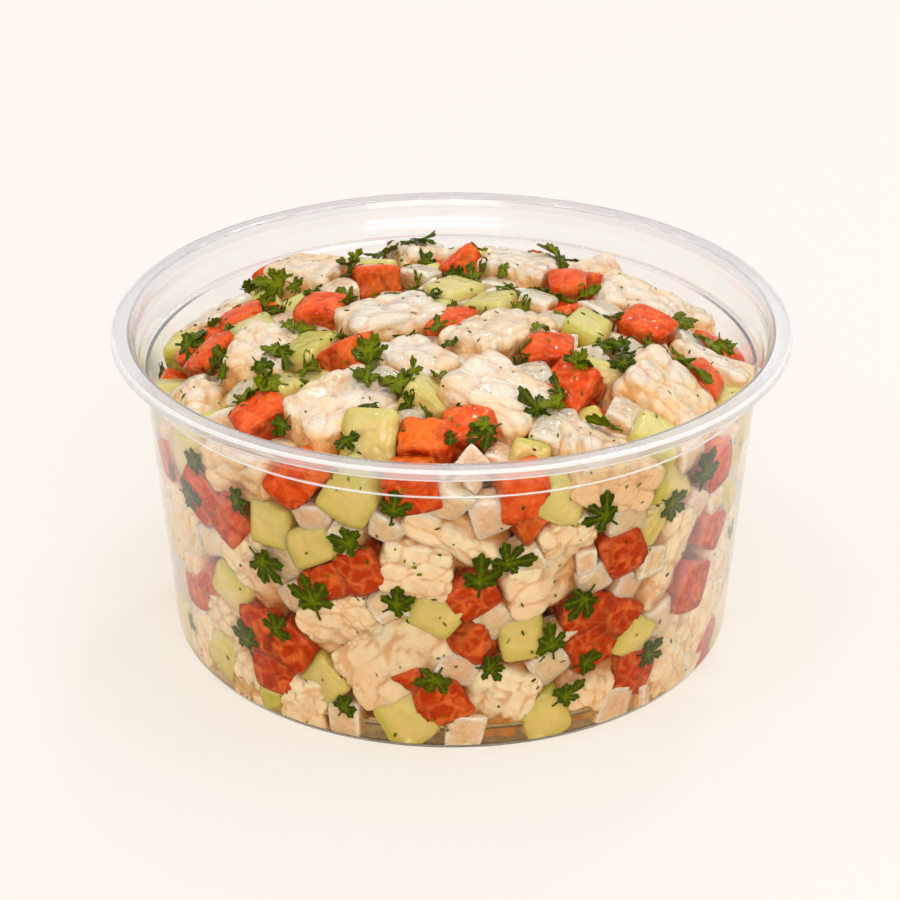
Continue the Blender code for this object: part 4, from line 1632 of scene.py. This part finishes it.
# %% Lay the leaves down
WALL_LEAF_SHADE = 0.35  # painted shade: leaves at the wall take only the darker part of their range of greens
LEAF_REACH_IN, LEAF_PRESSED = 0.13 * MM, 0.17 * MM  # how far a leaf reaches into the wall, and its thickness
LEAF_CLEARANCE = 0.06 * MM  # how far a leaf on top stays off the food
leaf_sizes = [[leaf[3]] * 3 for leaf in leaves_planned]
wall_leaf_shading = [WALL_LEAF_SHADE if leaf[0] else 1.0 for leaf in leaves_planned]
leaves = scattered("parsley_leaves", leaf_forms, herb_look, leaf_places, leaf_turns, leaf_sizes,
                   leaf_draws.integers(0, FORMS, len(leaves_planned)),
                   leaf_draws.uniform(0, 1, len(leaves_planned)) * wall_leaf_shading)


def lay_down(obj):
    """Presses leaves at the wall flat in front of the dice, and drapes the others over the food."""
    mesh = obj.data
    side = np.empty(len(mesh.vertices), dtype=np.float32)
    mesh.attributes["side"].data.foreach_get("value", side)
    points = np.array([v.co for v in mesh.vertices])
    share = len(points) // len(leaves_planned)
    for i, (at_the_wall, *_) in enumerate(leaves_planned):
        mine = slice(i * share, (i + 1) * share)
        flat, face = points[mine], side[mine]
        if at_the_wall:
            distance = np.hypot(flat[:, 0], flat[:, 1])
            pressed = inner_radius(flat[:, 2]) + LEAF_REACH_IN + LEAF_PRESSED * face
            flat[:, :2] *= (pressed / distance)[:, None]
            continue
        ground = np.array([top_at(x, y) for x, y, _ in flat])
        flat[:, 2] = np.maximum(flat[:, 2], ground + LEAF_CLEARANCE + LEAF_THICKNESS * face)
    mesh.vertices.foreach_set("co", points.astype(np.float32).ravel())
    mesh.update()


lay_down(leaves)
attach(leaves, "root")
print("leaves:", triangles(leaves), "triangles")

# %% [markdown]
# ## Flecks of herb
#
# The knife also leaves hundreds of tiny scraps, which juice spreads over everything. Points are thrown at
# random on the faces that can be seen, and each gets a scrap of six sides, turned and stretched by chance.
# The tree takes how many there are to a square metre as a number, so more or less herb is one change.

# %% Mark the faces that show
SEEN_DEPTH = 1.2 * MM  # how far behind the wall a fleck still shows
OPEN_DEPTH = 5 * MM  # and how far under the dome
UPWARD = 0.25  # the least upward lean of a face that is open above


def mark_shown(obj):
    """Marks with 1 the points against the wall or open to the sky."""
    mesh = obj.data
    points = np.array([v.co for v in mesh.vertices])
    upward = np.array([v.normal.z for v in mesh.vertices])
    distance = np.hypot(points[:, 0], points[:, 1])
    beside_wall = distance > inner_radius(points[:, 2]) - SEEN_DEPTH
    near_top = points[:, 2] > dome_height(points[:, 0], points[:, 1]) - OPEN_DEPTH
    open_above = (upward > UPWARD) & near_top
    write_mark(mesh, "shown", beside_wall | open_above)


for piece in dice_pieces.values():
    mark_shown(piece)
print("marked what shows on", len(dice_pieces), "pieces")

# %% The fleck tree
fleck_tree, given, result = new_tree(
    "flecks on faces", Fish="Object", Tomato="Object", Cucumber="Object", Onion="Object",
    Fleck="Object", Per_Square_Metre="Float", Seed="Int", Material="Material")
food = add(fleck_tree, "GeometryNodeJoinGeometry")
for title in ("Onion", "Cucumber", "Tomato", "Fish"):
    source = add(fleck_tree, "GeometryNodeObjectInfo", {"Object": given[title]})
    fleck_tree.links.new(source.outputs["Geometry"], food.inputs["Geometry"])
shown = add(fleck_tree, "GeometryNodeInputNamedAttribute", {"Name": "shown"}, data_type="FLOAT")
density = add(fleck_tree, "ShaderNodeMath",
              {0: shown.outputs["Attribute"], 1: given["Per_Square_Metre"]}, operation="MULTIPLY")
spots = add(fleck_tree, "GeometryNodeDistributePointsOnFaces", {
    "Mesh": food.outputs["Geometry"], "Density": density.outputs["Value"], "Seed": given["Seed"]})
spin = add(fleck_tree, "FunctionNodeRandomValue", {2: 0.0, 3: math.tau, "Seed": given["Seed"]})
about_normal = add(fleck_tree, "FunctionNodeAxisAngleToRotation",
                   {"Axis": (0.0, 0.0, 1.0), "Angle": spin.outputs[1]})
turned_spot = add(fleck_tree, "FunctionNodeRotateRotation", {
    "Rotation": spots.outputs["Rotation"], "Rotate By": about_normal.outputs["Rotation"]},
    rotation_space="LOCAL")
random_size = add(fleck_tree, "FunctionNodeRandomValue",
                  {0: (0.25, 0.2, 0.6), 1: (1.2, 0.6, 1.1), "Seed": given["Seed"]},
                  data_type="FLOAT_VECTOR")
scrap = add(fleck_tree, "GeometryNodeObjectInfo", {"Object": given["Fleck"], "As Instance": True})
sown = add(fleck_tree, "GeometryNodeInstanceOnPoints", {
    "Points": spots.outputs["Points"], "Instance": scrap.outputs["Geometry"],
    "Rotation": turned_spot.outputs["Rotation"], "Scale": random_size.outputs["Value"]})
tint = add(fleck_tree, "FunctionNodeRandomValue", {2: 0.0, 3: 1.0, "Seed": 5})
tinted = add(fleck_tree, "GeometryNodeStoreNamedAttribute", {
    "Geometry": sown.outputs["Instances"], "Name": "shade", "Value": tint.outputs[1]},
    data_type="FLOAT", domain="INSTANCE")
finish_tree(fleck_tree, tinted.outputs["Geometry"], given, result)
print("nodes in the fleck tree:", len(fleck_tree.nodes))

# %% Scraps of herb


def scrap_form():
    """A scrap about a millimetre long: a slab of six sides with a raised middle."""
    rim = [(math.cos(a) * 0.5 * MM, math.sin(a) * 0.5 * MM) for a in np.arange(6) * math.tau / 6]
    points = [(x, y, -0.03 * MM) for x, y in rim] + [(x, y, 0.1 * MM) for x, y in rim]
    points += [(0, 0, 0.16 * MM), (0, 0, -0.03 * MM)]
    faces = []
    for i in range(6):
        j = (i + 1) % 6
        faces += [[i, j, 6 + j, 6 + i], [6 + i, 6 + j, 12], [13, j, i]]
    mesh = bpy.data.meshes.new("scrap")
    mesh.from_pydata(points, [], faces)
    return mesh


FLECKS_PER_SQUARE_METRE = 26000
scrap_guide = hidden_object("scrap_form", scrap_form())
flecks = grown("herb_flecks", fleck_tree, Fish=dice_pieces["fish"], Tomato=dice_pieces["tomato"],
               Cucumber=dice_pieces["cucumber"], Onion=dice_pieces["onion"], Fleck=scrap_guide,
               Per_Square_Metre=FLECKS_PER_SQUARE_METRE, Seed=3, Material=herb_look)
bpy.data.objects.remove(scrap_guide)
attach(flecks, "root")
print("flecks:", triangles(flecks) // 24, "of them,", triangles(flecks), "triangles")
